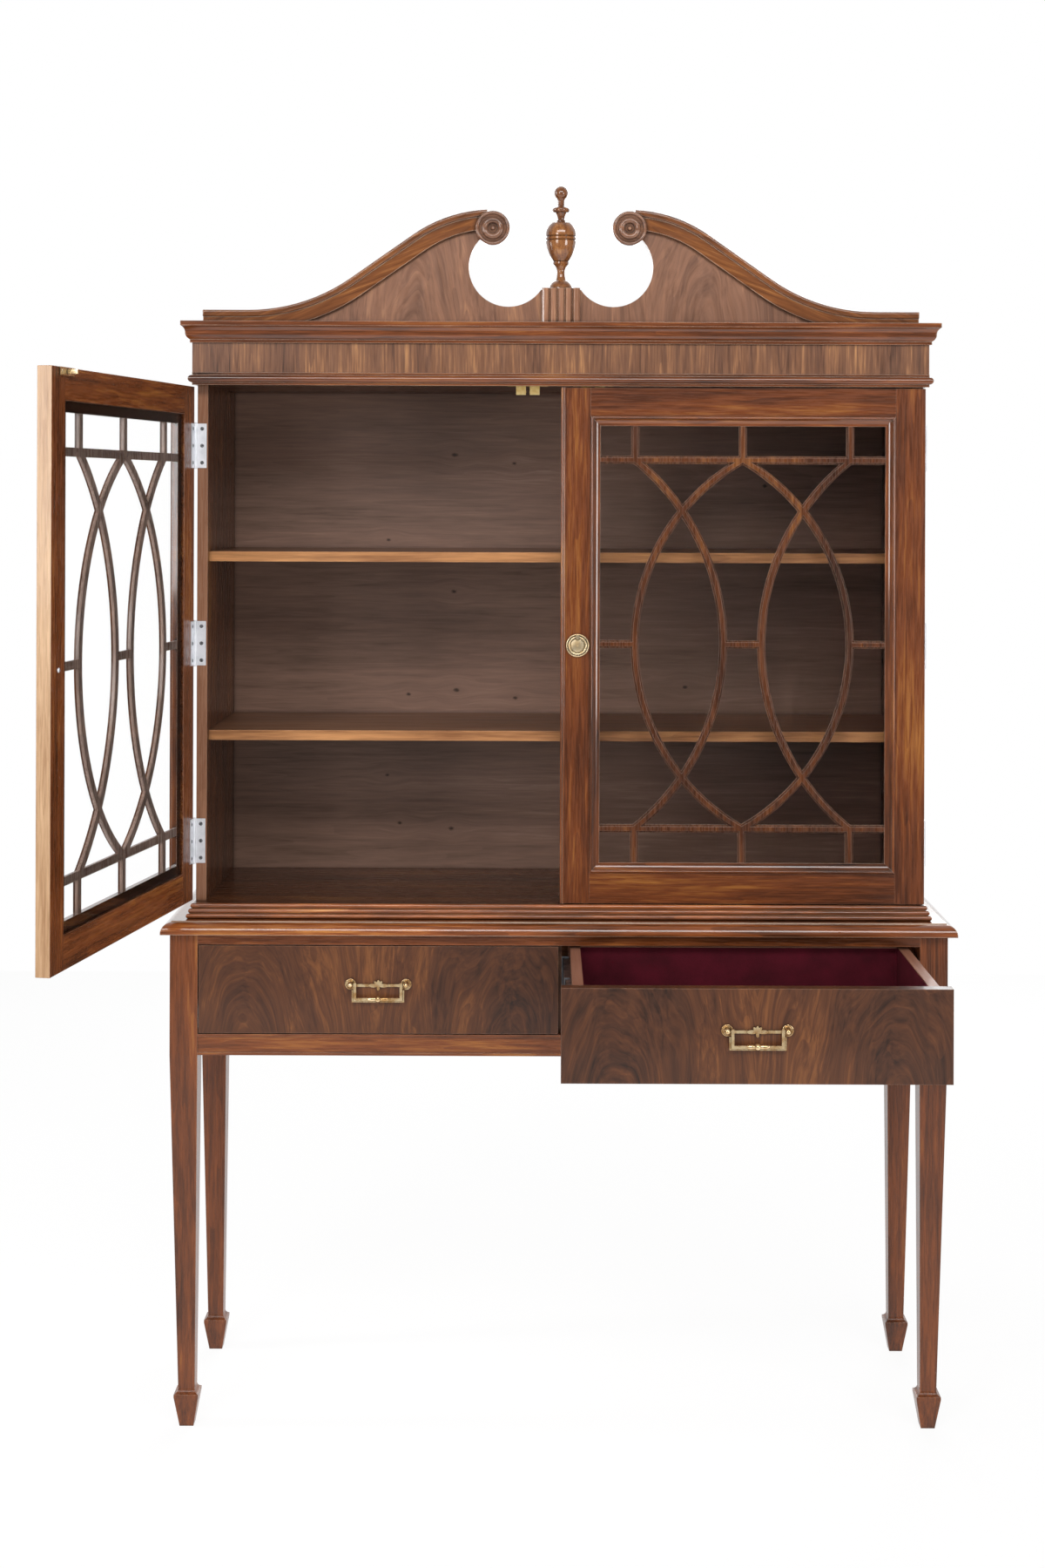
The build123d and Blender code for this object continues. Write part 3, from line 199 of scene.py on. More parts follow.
    mean = sum(share for pattern, share in shares) / 2
    shade = add(
        tree, "MapRange", {"Value": shade, "From Min": mean - softness, "From Max": mean + softness}
    ).outputs[0]
    if dark:
        shade = add(tree, "Math", {0: shade, 1: dark}, operation="SUBTRACT").outputs[0]
    colours = add(tree, "ValToRGB", {"Fac": shade})
    second_tone = 0.36
    third_tone = 0.66
    stops = colours.color_ramp.elements
    stops[0].color = linear(tones[0])
    stops[1].color = linear(tones[3])
    stops.new(second_tone).color = linear(tones[1])
    stops.new(third_tone).color = linear(tones[2])
    colour = colours.outputs[0]
    if pale:
        dark_tone, light_tone, direction, reach = pale
        away = add(tree, "VectorMath", {0: place, 1: direction}, operation="DOT_PRODUCT").outputs["Value"]
        bare = add(tree, "Math", {0: away, 1: reach}, operation="GREATER_THAN").outputs[0]
        bleached = add(
            tree, "Mix", {0: shade, 6: linear(dark_tone), 7: linear(light_tone)}, data_type="RGBA"
        ).outputs[2]
        colour = add(tree, "Mix", {0: bare, 6: colour, 7: bleached}, data_type="RGBA").outputs[2]
    # Corners are darkened towards a near-black brown: painted shade, together with old polish.
    corner_reach = 0.006
    corner = add(tree, "AmbientOcclusion", {"Distance": corner_reach}, samples=4).outputs["AO"]
    darkening = {"From Min": 0.40, "From Max": 0.92, "To Min": shade_and_polish, "To Max": 0.0}
    corner = add(tree, "MapRange", {"Value": corner, **darkening}).outputs[0]
    colour = add(tree, "Mix", {0: corner, 6: colour, 7: linear(SHADE_AND_OLD_POLISH)}, data_type="RGBA").outputs[2]
    normal = add(tree, "NewGeometry").outputs["Normal"]
    # The arrises are lightened to a pale line: painted highlight as well as wear.
    if arris:
        rounded = add(tree, "Bevel", {"Radius": arris}, samples=4).outputs[0]
        match = add(tree, "VectorMath", {0: rounded, 1: normal}, operation="DOT_PRODUCT").outputs["Value"]
        edge_highlight_and_wear = add(
            tree, "MapRange", {"Value": match, "From Min": 0.99, "From Max": 0.80, "To Max": wear_and_highlight}
        ).outputs[0]
        edge_highlight_and_wear = add(tree, "Math", {0: edge_highlight_and_wear, 1: streak}, operation="MULTIPLY").outputs[0]
        colour = add(tree, "Mix", {0: edge_highlight_and_wear, 6: colour, 7: linear(edge)}, data_type="RGBA").outputs[2]
        normal = rounded
    duller_fibre = 0.12
    polish = {"From Min": 0.3, "From Max": 0.7, "To Min": gloss, "To Max": gloss + duller_fibre}
    sheen = add(tree, "MapRange", {"Value": fibre, **polish}).outputs[0]
    pores = add(
        tree, "Bump", {"Strength": pore_depth, "Distance": 0.001, "Height": fibre, "Normal": normal}
    ).outputs[0]
    shader = tree.nodes["Principled BSDF"]
    tree.links.new(colour, shader.inputs["Base Color"])
    tree.links.new(sheen, shader.inputs["Roughness"])
    tree.links.new(pores, shader.inputs["Normal"])
    shader.inputs["IOR"].default_value = SHELLAC_IOR
    shader.inputs["Coat Weight"].default_value = coat
    shader.inputs["Coat Roughness"].default_value = 0.05
    return material


dress(
    wood("polished walnut, upright", "Z", softness=0.42),
    "leg_front_left",
    "leg_front_right",
    "leg_rear_left",
    "leg_rear_right",
)

# Rails and aprons: the front rails run across between the legs, the side aprons from front to back, all
# of solid walnut tenoned into the legs and polished with them.

dress(wood("polished walnut, across", "X"), "front_rails")

# wood() takes distances without their sign. Counted from 1 m behind the middle, whatever lies further
# forward is further away, so the side aprons are the ones beyond the rear apron.
far_behind = (0, 1, 0)
rear_apron_y = 0.150
side_aprons = ("Y", far_behind, (0, 1, 0), far_behind[1] - rear_apron_y)
dress(wood("polished walnut, aprons", "X", crossing=side_aprons), "aprons")

# Table top: a walnut board laid on the legs and rails, its edge moulded on three sides. The grain runs
# from left to right, and its top takes the highest polish of the whole piece.

# A polished moulding mirrors sharply; painted shade and old polish darken its hollows, and pale lines of
# painted highlight and wear run along its edges. The table top takes a lighter copy of the walnut, which is
# painted light standing in for its highlights.
HIGHLIT_WALNUT = ("#351b0e", "#6e3a1b", "#965127", "#c8803d")
MOULDED = {"gloss": 0.10, "coat": 0.8, "shade_and_polish": 0.95, "arris": 0.0026, "wear_and_highlight": 1.8, "edge": "#eccbb0"}
dress(wood("polished walnut, table top", "X", HIGHLIT_WALNUT, **MOULDED), "table_top")

# Slides: the divider and the battens are unseen beech, stained brown. The telescopic channels on them
# are pressed steel with a dull zinc coat.

# Stain takes evenly on close-grained beech: a flat brown with hardly any figure and little shine.
STAINED_BEECH = ("#4a3020", "#65452f", "#7a5740", "#937055")
dress(
    wood("stained beech, runners", "Y", STAINED_BEECH, gloss=0.5, softness=0.8),
    "drawer_divider",
    "slide_battens",
)


def metal(name, bright, dull, patch, roughness, relief=0.02, patina_and_shade=None):
    """A metal whose colour and polish vary in patches of a size, with a faint uneven surface. The patina
    and shade is the dark brown painted into its hollows: patina of a casting as well as painted shade."""
    material = bpy.data.materials.new(name)
    material.use_nodes = True
    tree = material.node_tree
    place = add(tree, "TexCoord").outputs["Object"]
    cloud = add(tree, "TexNoise", {"Vector": place, "Scale": 1 / patch, "Detail": 4.0}).outputs[0]
    colours = add(tree, "ValToRGB", {"Fac": cloud})
    colours.color_ramp.elements[0].position = 0.34
    colours.color_ramp.elements[0].color = linear(dull)
    colours.color_ramp.elements[1].position = 0.60
    colours.color_ramp.elements[1].color = linear(bright)
    smooth, rough = roughness
    rubbing = {"From Min": 0.3, "From Max": 0.7, "To Min": rough, "To Max": smooth}
    polish = add(tree, "MapRange", {"Value": cloud, **rubbing}).outputs[0]
    uneven = add(tree, "Bump", {"Strength": relief, "Distance": 0.001, "Height": cloud}).outputs[0]
    colour = colours.outputs[0]
    # Hollows are darkened to a dark brown: patina as well as painted shade.
    if patina_and_shade:
        hollow_reach = 0.004
        hollow = add(tree, "AmbientOcclusion", {"Distance": hollow_reach}, samples=8).outputs["AO"]
        darkening = {"From Min": 0.40, "From Max": 0.92, "To Min": 0.97, "To Max": 0.0}
        hollow = add(tree, "MapRange", {"Value": hollow, **darkening}).outputs[0]
        colour = add(tree, "Mix", {0: hollow, 6: colour, 7: linear(patina_and_shade)}, data_type="RGBA").outputs[2]
    shader = tree.nodes["Principled BSDF"]
    tree.links.new(colour, shader.inputs["Base Color"])
    tree.links.new(polish, shader.inputs["Roughness"])
    tree.links.new(uneven, shader.inputs["Normal"])
    shader.inputs["Metallic"].default_value = 1.0
    return material


# A zinc coat dulls in patches of about 12 mm, so it shows a blotchy grey with a blurred shine.
zinc = metal("zinc-coated steel", "#94969a", "#6c6f73", 0.012, (0.32, 0.46))
dress(
    zinc,
    "slide_channels",
    "left_slide_middles",
    "right_slide_middles",
    "left_slide_runners",
    "right_slide_runners",
)

# Drawer boxes: sides and back of a plain close-grained wood, with the bottom held in grooves, stained
# a pinkish brown and left with a satin finish. The grain of the sides runs from front to back.

# A satin finish on plain wood gives an even pinkish brown with only a faint figure.
STAINED_SIDES = ("#724835", "#98654f", "#ad7a63", "#c4957c")
drawer_middle = 0.2736
drawer_inner_half = 0.2414
for side, hand in ((-1, "left"), (1, "right")):
    dress(
        wood(
            "stained drawer wood, " + hand,
            "X",
            STAINED_SIDES,
            crossing=("Y", (side * drawer_middle, 0, 0), (1, 0, 0), drawer_inner_half),
            gloss=0.42,
            wear_and_highlight=0.3,
            softness=0.9,
        ),
        hand + "_drawer_box",
    )

# Drawer fronts: walnut flame veneer, two leaves opened like a book about the middle of each front, so
# that the upright grain bends into arches towards both ends.

# Veneer cut from the fork of a tree shows dark brown arches under a silkier polish than the solid wood.
FLAME_VENEER = ("#28150b", "#4b2a18", "#60371e", "#84512a")
front_middle = 0.2724
arch_foot = 0.567
arch_spacing = 0.195
arch_rise = 0.48
for side, hand in ((-1, "left"), (1, "right")):
    dress(
        wood(
            "walnut flame veneer, " + hand,
            "Z",
            FLAME_VENEER,
            arches=((side * front_middle, 0, arch_foot), arch_spacing, arch_rise),
            gloss=0.30,
            softness=0.36,
            sway=0.06,
        ),
        hand + "_drawer_front",
    )

# Drawer linings: burgundy cotton velvet, one piece cut as a cross, glued to the floor of the drawer and
# turned up its four walls. The short pile lies in faint clouds.


def velvet_lining(hand):
    """The cloth of one drawer, with soft corners where it turns up the walls."""
    low, high = (Vector(corner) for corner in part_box(hand + "_drawer_lining"))
    cloth = 0.0012
    corner_radius = 0.004
    mesh = bmesh.new()
    bmesh.ops.create_cube(mesh, size=1.0)
    bmesh.ops.scale(mesh, vec=high - low, verts=mesh.verts)
    bmesh.ops.translate(mesh, vec=(low + high) / 2, verts=mesh.verts)
    lid = [face for face in mesh.faces if face.normal.z > 0.9]
    bmesh.ops.delete(mesh, geom=lid, context="FACES_ONLY")
    turned_up = [edge for edge in mesh.edges if len(edge.link_faces) == 2]
    bmesh.ops.bevel(
        mesh, geom=turned_up, offset=corner_radius, segments=4, profile=0.5, affect="EDGES", material=-1
    )
    bmesh.ops.recalc_face_normals(mesh, faces=mesh.faces)
    bmesh.ops.solidify(mesh, geom=mesh.faces, thickness=cloth)
    data = bpy.data.meshes.new(hand + "_velvet")
    mesh.to_mesh(data)
    mesh.free()
    lining = bpy.data.objects.new(hand + "_velvet", data)
    bpy.context.scene.collection.objects.link(lining)
    return lining


# Velvet swallows light: a deep wine red without a shine, a little rosier where the pile is seen edge on.
# Its tufts stand less than half a millimetre apart, too fine to show, so the pile is drawn at 1.6 mm.
pile_cloud = 0.045
pile_tuft = 0.0016
pile_height = 0.0008
velvet = bpy.data.materials.new("burgundy cotton velvet")
velvet.use_nodes = True
tree = velvet.node_tree
place = add(tree, "TexCoord").outputs["Object"]
cloud = add(tree, "TexNoise", {"Vector": place, "Scale": 1 / pile_cloud, "Detail": 3.0}).outputs[0]
pile = add(tree, "TexNoise", {"Vector": place, "Scale": 1 / pile_tuft, "Detail": 2.0}).outputs[0]
lie = add(tree, "Math", {0: pile, 1: 0.35, 2: cloud}, operation="MULTIPLY_ADD").outputs[0]
colours = add(tree, "ValToRGB", {"Fac": lie})
colours.color_ramp.elements[0].position = 0.45
colours.color_ramp.elements[0].color = linear("#3e0a15")
colours.color_ramp.elements[1].position = 0.90
colours.color_ramp.elements[1].color = linear("#571020")
nap = add(tree, "Bump", {"Strength": 0.25, "Distance": pile_height, "Height": pile}).outputs[0]
shader = tree.nodes["Principled BSDF"]
tree.links.new(colours.outputs[0], shader.inputs["Base Color"])
tree.links.new(nap, shader.inputs["Normal"])
shader.inputs["Roughness"].default_value = 0.92
shader.inputs["Specular IOR Level"].default_value = 0.2
shader.inputs["Sheen Weight"].default_value = 0.12
shader.inputs["Sheen Roughness"].default_value = 0.4
shader.inputs["Sheen Tint"].default_value = linear("#c83c54")

for hand in ("left", "right"):
    lining = velvet_lining(hand)
    lining.data.materials.append(velvet)
    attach(lining, hand + "_drawer")
    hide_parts(hand + "_drawer_lining")

# Drawer handles: cast brass plates with ball posts and a palmette, and the bail that hangs in them. They
# were coloured brown in the foundry and are rubbed bright on the high places.

# Old cast brass shines softly in warm gold, and its hollows are painted nearly black: patina as well as
# painted shade.
PATINA_AND_SHADE_BROWN = "#28180a"
antique_brass = metal("antique brass, cast", "#f8dcae", "#c99c66", 0.010, (0.20, 0.30), 0.01, PATINA_AND_SHADE_BROWN)
dress(antique_brass, "left_handle_plate", "right_handle_plate", "left_bail", "right_bail")

# Upper case: sides with upright grain, floor and top boards with the grain across, all faced in walnut
# and polished inside and out. The sides are grooved for the shelves.

# The case is darker than the stand, and the front edges of its sides took less stain.
CASE_WALNUT = ("#23120a", "#482612", "#61361b", "#865829")
front_edge = 0.1275
pale_front = ("#7a4f38", "#a8795c", (0, -1, 0), front_edge)
dress(
    wood("polished walnut, case sides", "Z", CASE_WALNUT, pale=pale_front),
    "case_side_left",
    "case_side_right",
)
dress(wood("polished walnut, case boards", "X", CASE_WALNUT), "case_bottom", "case_top", "top_board")

# Back panel: one sheet of walnut-faced board, let into a rebate at the back of the sides. Its veneer has
# wide grain across the cabinet and a few small knots.

# A satin finish leaves the veneer dull and greyish, with a soft figure and small black pins.
BACK_WALNUT = ("#3c2a20", "#75594a", "#8a6a5a", "#a98977")
back_face = 0.167
pin_knots = [
    ((x, back_face, z), size)
    for x, z, size in (
        (-0.283, 1.338, 0.0022),
        (-0.173, 1.480, 0.0032),
        (-0.074, 1.466, 0.0022),
        (-0.249, 1.081, 0.0026),
        (-0.169, 1.088, 0.0030),
        (-0.071, 1.075, 0.0024),
        (-0.174, 1.252, 0.0026),
        (-0.284, 0.946, 0.0020),
        (-0.263, 0.866, 0.0022),
        (-0.177, 0.857, 0.0028),
        (0.212, 1.094, 0.0024),
        (0.344, 1.430, 0.0026),
    )
]
back = wood("satin walnut, back panel", "X", BACK_WALNUT, knots=pin_knots, gloss=0.36, softness=0.58)
dress(back, "back_panel")

# Shelves: two walnut-faced boards housed in grooves in the sides, each with a strip of solid wood glued
# along the front edge. The strip took less stain than the boards and shows as a light line.

# The satin boards are a dull mid brown, between the polished case and the grey back.
SHELF_WALNUT = ("#462b1c", "#6f4a32", "#845b41", "#a2785a")
lipping_back = 0.102
lipping = ("#6a3a1c", "#d4965e", (0, -1, 0), lipping_back)
dress(
    wood("satin walnut, shelves", "X", SHELF_WALNUT, gloss=0.34, pale=lipping),
    "shelf_lower",
    "shelf_upper",
)

# Mouldings of the case: reeded waist, astragal and cornice, each run along the front and mitred round
# both sides, planed from walnut with the grain along the run.


def mitred(name, corner, tones=POLISHED_WALNUT, finish=MOULDED):
    """Walnut run along the front, and from front to back beyond the mitre at a corner."""
    corner_x, corner_y = corner
    side_runs = ("Y", far_behind, (1, -1, 0), corner_x + corner_y - far_behind[1])
    return wood(name, "X", tones, crossing=side_runs, **finish)


# The fine reeds take a lighter copy of the walnut and pale backs, painted highlight as well as wear;
# the crisp edges of the other two get thin pale lines of painted highlight and wear.
HIGHLIT_REED_WALNUT = ("#45240f", "#884a24", "#b46634", "#e6a058")
REEDED = {**MOULDED, "arris": 0.0014, "wear_and_highlight": 1.3, "edge": "#e6b890", "shade_and_polish": 0.6}
CRISP = {**MOULDED, "arris": 0.0016, "wear_and_highlight": 1.6}
waist_corner = (0.566, -0.1607)
cornice_corner = (0.576, -0.1707)
dress(mitred("polished walnut, waist", waist_corner, HIGHLIT_REED_WALNUT, REEDED), "waist_moulding")
dress(mitred("polished walnut, astragal", waist_corner, finish=CRISP), "astragal_moulding")
dress(mitred("polished walnut, cornice", cornice_corner, finish=CRISP), "cornice")

# Frieze: four boards that stand on the case between astragal and cornice, veneered with upright grain.
# The veneer has narrow golden streaks and a silky polish, so the band is lighter than the mouldings.

GOLDEN_VENEER = ("#3f2619", "#6a4530", "#865a3d", "#bb8554")
golden_streak = 0.0038
dress(
    wood(
        "walnut cross veneer, frieze",
        "Z",
        GOLDEN_VENEER,
        gloss=0.28,
        softness=0.33,
        streak_width=golden_streak,
        sway=0.02,
    ),
    "frieze",
)

# Pediment: a board sawn to the outline and veneered with upright grain, with a moulded swan neck along
# each upper edge, turned rosettes, and a reeded plinth that the turned urn is dowelled into.

# The veneer of the board is a light greyish brown with broad, silky arches.
PEDIMENT_VENEER = ("#492e21", "#78513b", "#92654b", "#bc865d")
pediment_foot = 1.507
pediment_spacing = 0.22
pediment_rise = 0.22
dress(
    wood(
        "walnut cross veneer, pediment",
        "Z",
        PEDIMENT_VENEER,
        arches=((0, 0, pediment_foot), pediment_spacing, pediment_rise),
        gloss=0.28,
        softness=0.40,
        sway=0.05,
    ),
    "pediment_board",
)

# The necks are cut from golden solid wood, whose grain follows their slope.
NECK_WALNUT = ("#331a0c", "#623719", "#834c24", "#b0743a")
neck_slope = radians(-22)
dress(wood("polished walnut, swan necks", "X", NECK_WALNUT, lean=neck_slope, **MOULDED), "swan_necks")

# Work off the lathe is burnished as smooth as glass: clear highlights, and dark rings of painted shade
# and old polish in the grooves.
TURNED = {"gloss": 0.10, "coat": 0.8, "shade_and_polish": 0.9, "arris": None, "pore_depth": 0.015}
dress(wood("polished walnut, rosettes", "X", PEDIMENT_VENEER, **TURNED), "rosettes")

# The reeds of the plinth are light, with pale edges of painted highlight and wear, and painted shade and
# old polish left black between them.
PLINTH_WALNUT = ("#5a3a2a", "#8e624a", "#aa7a5e", "#d4a07a")
FLUTED = {**MOULDED, "arris": 0.0009, "wear_and_highlight": 1.3, "edge": "#f0cdb2", "shade_and_polish": 0.98}
dress(wood("polished walnut, plinth", "Z", PLINTH_WALNUT, **FLUTED), "finial_plinth")

URN_WALNUT = ("#4a2a16", "#7e4c2a", "#a0683a", "#c89058")
dress(wood("polished walnut, turned urn", "Z", URN_WALNUT, **TURNED), "urn_finial")

# Doors: stiles and rails of solid walnut, tenoned together, with a mitred glazing moulding and thin
# glazing bars glued to the glass. The left door stands open, so its grain is turned with it.

# The frames show a reddish brown with gold streaks, the bars a darker one with less stained backs, and
# the beads a thin pale line of painted highlight and wear. The leading edge of the left door is bare and
# light. The shut right door takes a darker copy of the walnut than the open left door: painted shade.
SHADED_WALNUT = ("#2a140a", "#572b12", "#773d1a", "#a2652b")
BAR_WALNUT = ("#24120a", "#4c2712", "#673719", "#8c5728")
DOOR_BEAD = {**MOULDED, "arris": 0.0012, "wear_and_highlight": 1.5, "edge": "#e4c4ae"}
opening_middle_x = 0.27825
opening_middle_z = 1.1865
opening_half_width = 0.23225
opening_half_height = 0.3475
meeting_edge = -0.0016
leading_edge = ("#94653f", "#e0ba92", (1, 0, 0), meeting_edge)
bar_middle = 0.1412
bar_backs = ("#8a6e60", "#d0b2a2", (0, 1, 0), -bar_middle)
left_hinge = Vector((-0.5584, -0.1296, 0.0))
open_angle = radians(100)
closed_again = Matrix.Rotation(open_angle, 3, "Z")
closing = (tuple(left_hinge - closed_again @ left_hinge), (0, 0, open_angle))
for side, hand, turned in ((-1, "left", closing), (1, "right", None)):
    middle = (side * opening_middle_x, 0.0, opening_middle_z)
    stiles = ("Z", middle, (1, 0, 0), opening_half_width)
    upright_strips = ("Z", middle, (1, 0, -1), opening_half_width - opening_half_height)
    dress(
        wood(
            "polished walnut, door frame " + hand,
            "X",
            POLISHED_WALNUT if turned else SHADED_WALNUT,
            crossing=stiles,
            turned=turned,
            pale=leading_edge if turned else None,
        ),
        hand + "_door_frame",
    )
    dress(
        wood(
            "polished walnut, glazing moulding " + hand,
            "X",
            crossing=upright_strips,
            turned=turned,
            **DOOR_BEAD,
        ),
        hand + "_glazing_moulding",
    )
    dress(
        wood("polished walnut, glazing bars " + hand, "Z", BAR_WALNUT, turned=turned, pale=bar_backs),
        hand + "_glazing_bars",
    )
dress(wood("polished walnut, meeting bead", "Z", **DOOR_BEAD), "meeting_bead")

# Panes: one sheet of 4 mm float glass for each door, set in the opening behind the glazing moulding, with
# the bars glued to its front.

# Clear glass dims what stands behind it a little, and a thin haze lies on it in patches of 80 mm. The
# photograph shows hardly any reflection in it, so its index is far below the 1.5 of real glass.
haze_patch = 0.08
low_index = 1.07
glass = bpy.data.materials.new("clear float glass")
glass.use_nodes = True
tree = glass.node_tree
place = add(tree, "TexCoord").outputs["Object"]
haze = add(tree, "TexNoise", {"Vector": place, "Scale": 1 / haze_patch, "Detail": 3.0}).outputs[0]
film = add(tree, "MapRange", {"Value": haze, "From Min": 0.45, "From Max": 0.75, "To Max": 0.02}).outputs[0]
shader = tree.nodes["Principled BSDF"]
tree.links.new(film, shader.inputs["Roughness"])
# The grey of the pane dims the case behind a shut door more than clear glass would: partly painted shade.
shader.inputs["Base Color"].default_value = linear("#ececec")
shader.inputs["Transmission Weight"].default_value = 1.0
shader.inputs["IOR"].default_value = low_index
dress(glass, "left_door_glass", "right_door_glass")

# Hinges: six butt hinges of nickel-plated steel, a leaf on the case and a leaf on the door, each held by
# three countersunk screws.

# Plain nickel plate is nearly white with a blurred shine, and hardly varies.
nickel = metal("nickel-plated steel", "#fafbff", "#e8eaee", 0.020, (0.50, 0.60), 0.004)
dress(nickel, "case_hinge_leaves", "left_door_hinge_leaves", "right_door_hinge_leaves")

# The slot of a screw is a narrow saw cut, so the eye sees only its shadow.
slot_black = bpy.data.materials.new("screw slot, in shadow")
slot_black.use_nodes = True
shader = slot_black.node_tree.nodes["Principled BSDF"]
shader.inputs["Base Color"].default_value = linear("#2a2622")
shader.inputs["Roughness"].default_value = 0.7


def screw_heads(name, body, metal_finish, heads, moved, radius, rise, waist=0.92):
    """Slotted heads on a body: each is a place, the way it faces and the turn of its slot, all given on
    the closed right-hand side and then moved. waist is how much a head narrows to its crown."""
    slot_length = radius * 1.7
    slot_width = radius * 0.3
    slot_rise = 0.00006
    slot_size = Matrix.Diagonal((slot_length, slot_width, slot_rise, 1))
    mesh = bmesh.new()
    for spot, facing, slot_turn in heads:
        stand = Vector(facing).to_track_quat("Z", "X").to_matrix().to_4x4()
        seat = moved @ Matrix.Translation(spot) @ stand
        bmesh.ops.create_cone(
            mesh,
            cap_ends=True,
            segments=20,
            radius1=radius,
            radius2=radius * waist,
            depth=rise,
            matrix=seat @ Matrix.Translation((0, 0, rise / 2)),
        )
        crown = seat @ Matrix.Translation((0, 0, rise)) @ Matrix.Rotation(slot_turn, 4, "Z")
        slot = bmesh.ops.create_cube(mesh, size=1.0, matrix=crown @ slot_size)
        for face in {face for vert in slot["verts"] for face in vert.link_faces}:
            face.material_index = 1
    bmesh.ops.recalc_face_normals(mesh, faces=mesh.faces)
    data = bpy.data.meshes.new(name)
    mesh.to_mesh(data)
    mesh.free()
    piece = bpy.data.objects.new(name, data)
    bpy.context.scene.collection.objects.link(piece)
    data.materials.append(metal_finish)
    data.materials.append(slot_black)
    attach(piece, body)


as_it_is = Matrix()
mirrored = Matrix.Diagonal((-1, 1, 1, 1))
left_opening = (
    Matrix.Translation(left_hinge) @ Matrix.Rotation(-open_angle, 4, "Z") @ Matrix.Translation(-left_hinge)
)
on_left_door = left_opening @ mirrored
hinge_heights = (0.8825, 1.18475, 1.487)
hinge_screw_step = 0.026
hinge_screw_x = 0.5485
case_leaf_y = -0.1294
door_leaf_y = -0.1298
case_heads = []
door_heads = []
for number, height in enumerate(hinge_heights):
    for step in (-1, 0, 1):
        slot_turn = radians(37 * number + 61 * step)
        screw_z = height + step * hinge_screw_step
        case_heads.append(((hinge_screw_x, case_leaf_y, screw_z), (0, -1, 0), slot_turn))
        door_heads.append(((hinge_screw_x, door_leaf_y, screw_z), (0, 1, 0), slot_turn))
hinge_head = {"radius": 0.0029, "rise": 0.00012}
screw_heads("case_hinge_screws_right", "cabinet", zinc, case_heads, as_it_is, **hinge_head)
screw_heads("case_hinge_screws_left", "cabinet", zinc, case_heads, mirrored, **hinge_head)
screw_heads("right_hinge_screws", "right_door", zinc, door_heads, as_it_is, **hinge_head)
screw_heads("left_hinge_screws", "left_door", zinc, door_heads, on_left_door, **hinge_head)

# Catches and ring pulls: ball catches under the top board, and strikes and pulls on the doors, all of
# pressed brass. Two screws hold each strike, and one from inside the door holds each pull.

# Lacquer keeps the brass pale gold and evenly bright; the catches are duller and yellower.
# In the lacquered brass that dark brown lies in the gaps round the rings and plates: painted shade.
bright_brass = metal("lacquered brass", "#fee9c2", "#eaca98", 0.010, (0.24, 0.34), 0.01, PATINA_AND_SHADE_BROWN)
dress(
    bright_brass,
    "left_catch_strike",
    "right_catch_strike",
    "left_pull_plate",
    "right_pull_plate",
    "left_pull_ring",
    "right_pull_ring",
)
catch_brass = metal("polished brass, catches", "#ffe6a6", "#f0cc80", 0.010, (0.48, 0.60), 0.01)
dress(catch_brass, "ball_catches")

strike_y = -0.1292
strike_z = 1.5715
strike_heads = [((x, strike_y, strike_z), (0, 1, 0), turn) for x, turn in ((0.033, 0.3), (0.067, 1.2))]
strike_head = {"radius": 0.0022, "rise": 0.0003, "waist": 0.7}
door_back_y = -0.1307
pull_spot = (0.027, door_back_y, 1.18475)
pull_heads = [(pull_spot, (0, 1, 0), 0.8)]
pull_head = {"radius": 0.0034, "rise": 0.0016, "waist": 0.6}
for body, moved in (("right_door", as_it_is), ("left_door", on_left_door)):
    screw_heads(body + "_strike_screws", body, bright_brass, strike_heads, moved, **strike_head)
    screw_heads(body + "_pull_screw", body, nickel, pull_heads, moved, **pull_head)

# Studio: a floor of white paper and a white world, lit by five soft lamps: key at the front left, fill at
# the front right, a strip above the front, a narrow one at the left side and one behind.

floor_half = 3.0
floor_mesh = bmesh.new()
bmesh.ops.create_grid(floor_mesh, x_segments=1, y_segments=1, size=floor_half)
floor_data = bpy.data.meshes.new("floor")
floor_mesh.to_mesh(floor_data)
floor_mesh.free()
floor = bpy.data.objects.new("floor", floor_data)
bpy.context.scene.collection.objects.link(floor)

# Matte paper, shown white to whatever looks at it, with a trace of the shadow on it.
shown_white = 0.86
paper = bpy.data.materials.new("white studio paper")
paper.use_nodes = True
tree = paper.node_tree
tree.nodes.remove(tree.nodes["Principled BSDF"])
path = add(tree, "LightPath")
seen = path.outputs["Is Camera Ray"]
for ray in ("Is Glossy Ray", "Is Transmission Ray"):
    seen = add(tree, "Math", {0: seen, 1: path.outputs[ray]}, operation="MAXIMUM").outputs[0]
lit = add(tree, "Math", {0: seen, 1: shown_white}, operation="MULTIPLY").outputs[0]
matte = add(tree, "BsdfDiffuse", {"Color": linear("#eeeeee")}).outputs[0]
white = add(tree, "Emission", {"Color": (1, 1, 1, 1), "Strength": 1.05}).outputs[0]
surface = add(tree, "MixShader", {0: lit, 1: matte, 2: white}).outputs[0]
tree.links.new(surface, tree.nodes["Material Output"].inputs["Surface"])
floor_data.materials.append(paper)

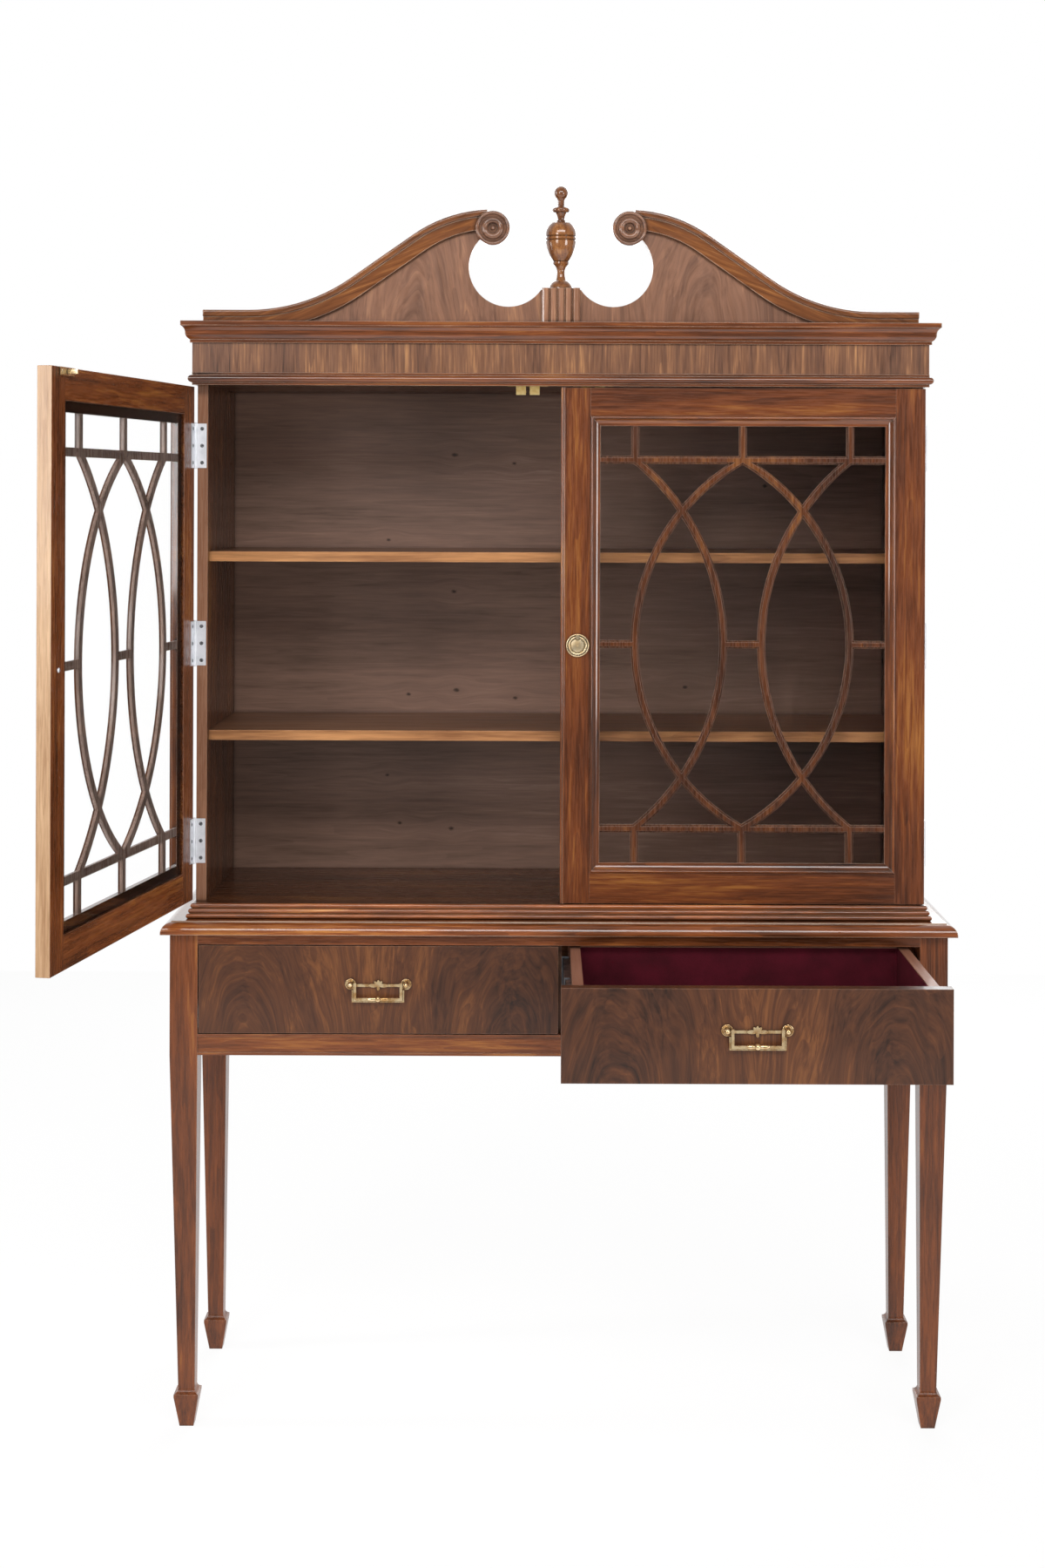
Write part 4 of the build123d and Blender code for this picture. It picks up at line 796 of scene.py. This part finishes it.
# The world is white to the camera and weak as a light. Polished faces mirror it white at the back and dim
# at the front. Seen straight through a pane, it gains what the pane takes from it, and lights nothing.
front_dim = 0.22
ambient = 0.26
pane_loss = 0.25
world = bpy.data.worlds.new("white studio")
bpy.context.scene.world = world
world.use_nodes = True
tree = world.node_tree
path = add(tree, "LightPath")
direction = add(tree, "TexCoord").outputs["Generated"]
backdrop = add(tree, "SeparateXYZ", {0: direction}).outputs["Y"]
fade = {"From Min": -0.4, "From Max": 0.4, "To Min": front_dim, "To Max": 1.0}
backdrop = add(tree, "MapRange", {"Value": backdrop, **fade}).outputs[0]
plain = add(tree, "Math", {0: path.outputs["Is Camera Ray"], 1: ambient}, operation="MAXIMUM").outputs[0]
sky = add(
    tree, "Mix", {0: path.outputs["Is Glossy Ray"], 2: plain, 3: backdrop}, data_type="FLOAT"
).outputs[0]
unlit = add(tree, "Math", {0: path.outputs["Diffuse Depth"], 1: 0.5}, operation="LESS_THAN").outputs[0]
through = add(
    tree, "Math", {0: path.outputs["Is Transmission Ray"], 1: unlit}, operation="MULTIPLY"
).outputs[0]
gain = add(tree, "Math", {0: through, 1: pane_loss, 2: 1.0}, operation="MULTIPLY_ADD").outputs[0]
strength = add(tree, "Math", {0: sky, 1: gain}, operation="MULTIPLY").outputs[0]
tree.links.new(strength, tree.nodes["Background"].inputs["Strength"])
tree.nodes["Background"].inputs["Color"].default_value = (1, 1, 1, 1)

lamps_aim = Vector((0, 0, 1.0))
for name, spot, width, height, watts in (
    ("key", (-2.0, -3.4, 1.7), 1.0, 1.2, 30),
    ("fill", (2.4, -3.0, 1.2), 1.0, 1.0, 28),
    ("strip", (0.0, -3.2, 3.1), 3.6, 0.9, 72),
    ("side", (-3.0, -0.2, 1.9), 0.3, 1.8, 26),
    ("rear", (0.6, 3.2, 2.4), 2.6, 2.0, 60),
):
    lamp = bpy.data.lights.new(name, "AREA")
    lamp.energy = watts
    lamp.shape = "RECTANGLE"
    lamp.size = width
    lamp.size_y = height
    light = bpy.data.objects.new(name, lamp)
    light.location = spot
    light.rotation_euler = (lamps_aim - light.location).to_track_quat("-Z", "Y").to_euler()
    bpy.context.scene.collection.objects.link(light)

# The camera stands where the parallel edges of the table top, doors and legs put it.
lens = bpy.data.cameras.new("camera")
lens.sensor_fit = "VERTICAL"
lens.sensor_height = 36.0
lens.lens = 50.14
lens.shift_x = -0.0111
lens.shift_y = -0.1833
camera = bpy.data.objects.new("camera", lens)
camera.location = (-0.031, -3.472, 1.411)
camera.rotation_euler = (radians(90), radians(-0.2), 0)
bpy.context.scene.collection.objects.link(camera)
bpy.context.scene.camera = camera
bpy.context.scene.view_settings.view_transform = "Standard"
